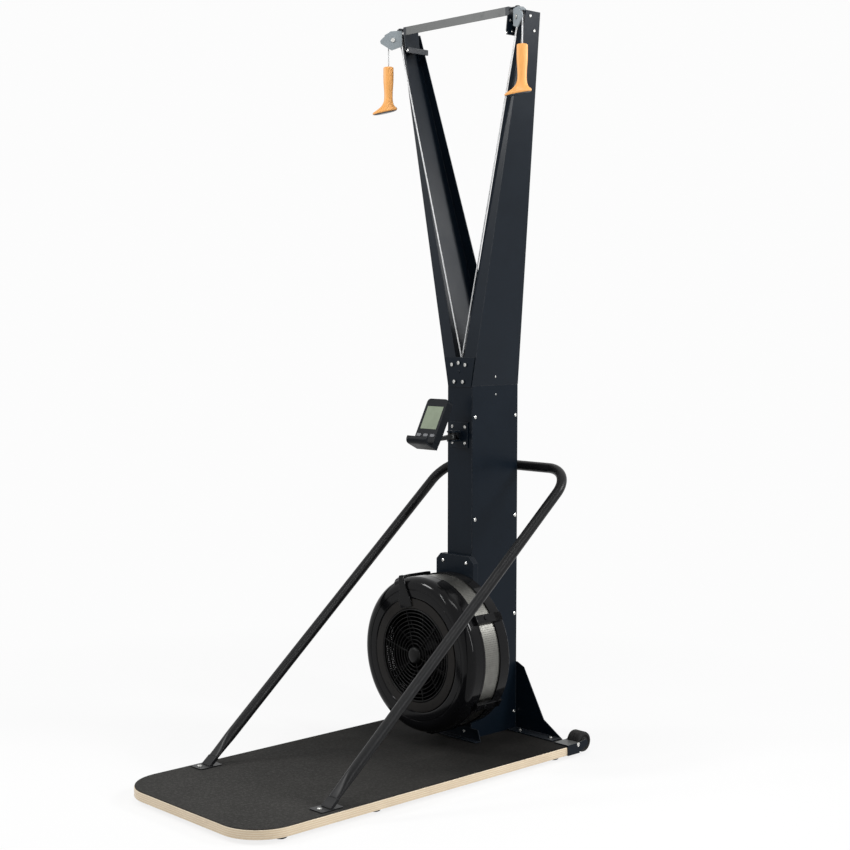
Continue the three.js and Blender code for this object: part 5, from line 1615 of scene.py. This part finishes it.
class TRAINER_OT_stage(PieceOperator, bpy.types.Operator):
    """Floor, surrounding light, lamps and camera"""

    bl_idname = "trainer.stage"
    bl_label = "Studio"

    def seen_rays(self, w):
        """1 for what the camera sees straight, in gloss or through something."""
        path = w.add("ShaderNodeLightPath")
        seen = w.math("MAXIMUM", path.outputs["Is Camera Ray"], path.outputs["Is Glossy Ray"])
        return w.math("MAXIMUM", seen, path.outputs["Is Transmission Ray"])

    def bare(self, made):
        """The emptied node tree of a world or material."""
        made.use_nodes = True
        made.node_tree.nodes.clear()
        return Wiring(made.node_tree)

    def world(self, settings):
        """Soft light from all round, which looks white."""
        world = bpy.data.worlds.new("studio_world")
        bpy.context.scene.world = world
        w = self.bare(world)
        light, white = (
            w.add("ShaderNodeBackground", {"Color": (1, 1, 1, 1), "Strength": strength}).outputs[0]
            for strength in (settings.sky, settings.backdrop)
        )
        mix = w.add("ShaderNodeMixShader", {0: self.seen_rays(w), 1: light, 2: white})
        w.add("ShaderNodeOutputWorld", {0: mix.outputs[0]})

    def floor(self, settings):
        """A floor that shows soft shadows near the machine and looks white further off."""
        floor = added("studio_floor", bpy.ops.mesh.primitive_plane_add, size=60,
                      location=(0, 0, -0.0005))
        settled(floor)
        material = bpy.data.materials.new("studio_floor")
        w = self.bare(material)
        far = w.add("ShaderNodeVectorMath", {0: w.object_place()}, operation="LENGTH")
        away = w.spread(far.outputs["Value"], 0.9, 2.2)
        near_glow, far_glow = (
            w.add("ShaderNodeEmission", {"Color": (1, 1, 1, 1), "Strength": strength}).outputs[0]
            for strength in (settings.backdrop * 0.84, settings.backdrop)
        )
        lit, plain = (
            w.add("ShaderNodeBsdfDiffuse", {"Color": (grey, grey, grey, 1)}).outputs[0]
            for grey in (0.18, 0.78)
        )
        near = w.add("ShaderNodeAddShader", {0: near_glow, 1: lit}).outputs[0]
        look = w.add("ShaderNodeMixShader", {0: away, 1: near, 2: far_glow}).outputs[0]
        both = w.add("ShaderNodeMixShader", {0: self.seen_rays(w), 1: plain, 2: look})
        w.add("ShaderNodeOutputMaterial", {0: both.outputs[0]})
        floor.data.materials.append(material)

    def lamp(self, name, place, target, size, power):
        """A rectangular lamp aimed at a target."""
        light = bpy.data.lights.new(name, "AREA")
        light.shape = "RECTANGLE"
        light.size, light.size_y = size
        light.energy = power
        lamp = bpy.data.objects.new(name, light)
        bpy.context.scene.collection.objects.link(lamp)
        lamp.location = place
        lamp.rotation_euler = (Vector(target) - Vector(place)).to_track_quat("-Z", "Y").to_euler()

    def camera(self, settings):
        """The photograph's camera."""
        data = bpy.data.cameras.new("photo_camera")
        data.lens = settings.lens
        data.sensor_width = 36
        data.clip_end = 100
        camera = bpy.data.objects.new("photo_camera", data)
        bpy.context.scene.collection.objects.link(camera)
        turn, tip, roll = settings.azimuth, settings.pitch, settings.roll
        level = math.cos(tip)
        back = Vector((math.sin(turn) * level, -math.cos(turn) * level, math.sin(tip)))
        right = Vector((math.cos(turn), math.sin(turn), 0))
        up = back.cross(right)
        rolled = right * math.cos(roll) + up * math.sin(roll)
        lifted = up * math.cos(roll) - right * math.sin(roll)
        frame_axes = Matrix((rolled, lifted, back)).transposed().to_4x4()
        camera.matrix_world = Matrix.Translation(settings.place) @ frame_axes
        bpy.context.scene.camera = camera

    def execute(self, context):
        settings = context.scene.trainer_studio
        context.scene.view_settings.view_transform = "Standard"
        self.world(settings)
        self.floor(settings)
        self.lamp("lamp_overhead", (0.9, -0.6, 3.2), (0, 0.2, 1.5), (1.2, 0.5), 18)
        self.lamp("lamp_front", (-2.0, -2.1, 2.7), (0, 0, 2.1), (0.7, 0.7), 46)
        self.lamp("lamp_right", (3.6, 0.2, 1.9), (0, 0, 0.9), (0.22, 2.2), 36)
        self.lamp("lamp_rear", (2.5, 2.3, 2.5), (0, 0.2, 1.9), (0.8, 0.8), 64)
        self.lamp("lamp_fan", (-0.9, -2.6, 2.3), (0, -0.2, 0.4), (0.10, 1.4), 14)
        self.camera(settings)
        return {"FINISHED"}


STEPS = (
    TRAINER_OT_deck, TRAINER_OT_frame, TRAINER_OT_fasteners, TRAINER_OT_handrail, TRAINER_OT_heads,
    TRAINER_OT_cords, TRAINER_OT_handles, TRAINER_OT_fan, TRAINER_OT_console, TRAINER_OT_wheels,
    TRAINER_OT_carried, TRAINER_OT_stage,
)


class TRAINER_PT_panel(bpy.types.Panel):
    """Lists the steps that build the ski trainer"""

    bl_idname = "TRAINER_PT_panel"
    bl_label = "Ski Trainer"
    bl_space_type = "VIEW_3D"
    bl_region_type = "UI"
    bl_category = "Ski Trainer"

    def draw(self, context):
        for name in SETTINGS:
            group = getattr(context.scene, name)
            box = self.layout.box()
            for key in group.__annotations__:
                box.prop(group, key)
        for step in STEPS:
            self.layout.operator(step.bl_idname)


def register():
    """Makes the settings, the steps and the panel known to Blender."""
    for name, group in SETTINGS.items():
        bpy.utils.register_class(group)
        setattr(bpy.types.Scene, name, PointerProperty(type=group))
    for step in (*STEPS, TRAINER_PT_panel):
        bpy.utils.register_class(step)


def unregister():
    """Takes them out again."""
    for step in reversed((*STEPS, TRAINER_PT_panel)):
        bpy.utils.unregister_class(step)
    for name, group in reversed(SETTINGS.items()):
        delattr(bpy.types.Scene, name)
        bpy.utils.unregister_class(group)


def main():
    """Runs every step."""
    register()
    for step in STEPS:
        family, name = step.bl_idname.split(".")
        getattr(getattr(bpy.ops, family), name)()
    nothing_selected()


if __name__ == "__main__":
    main()
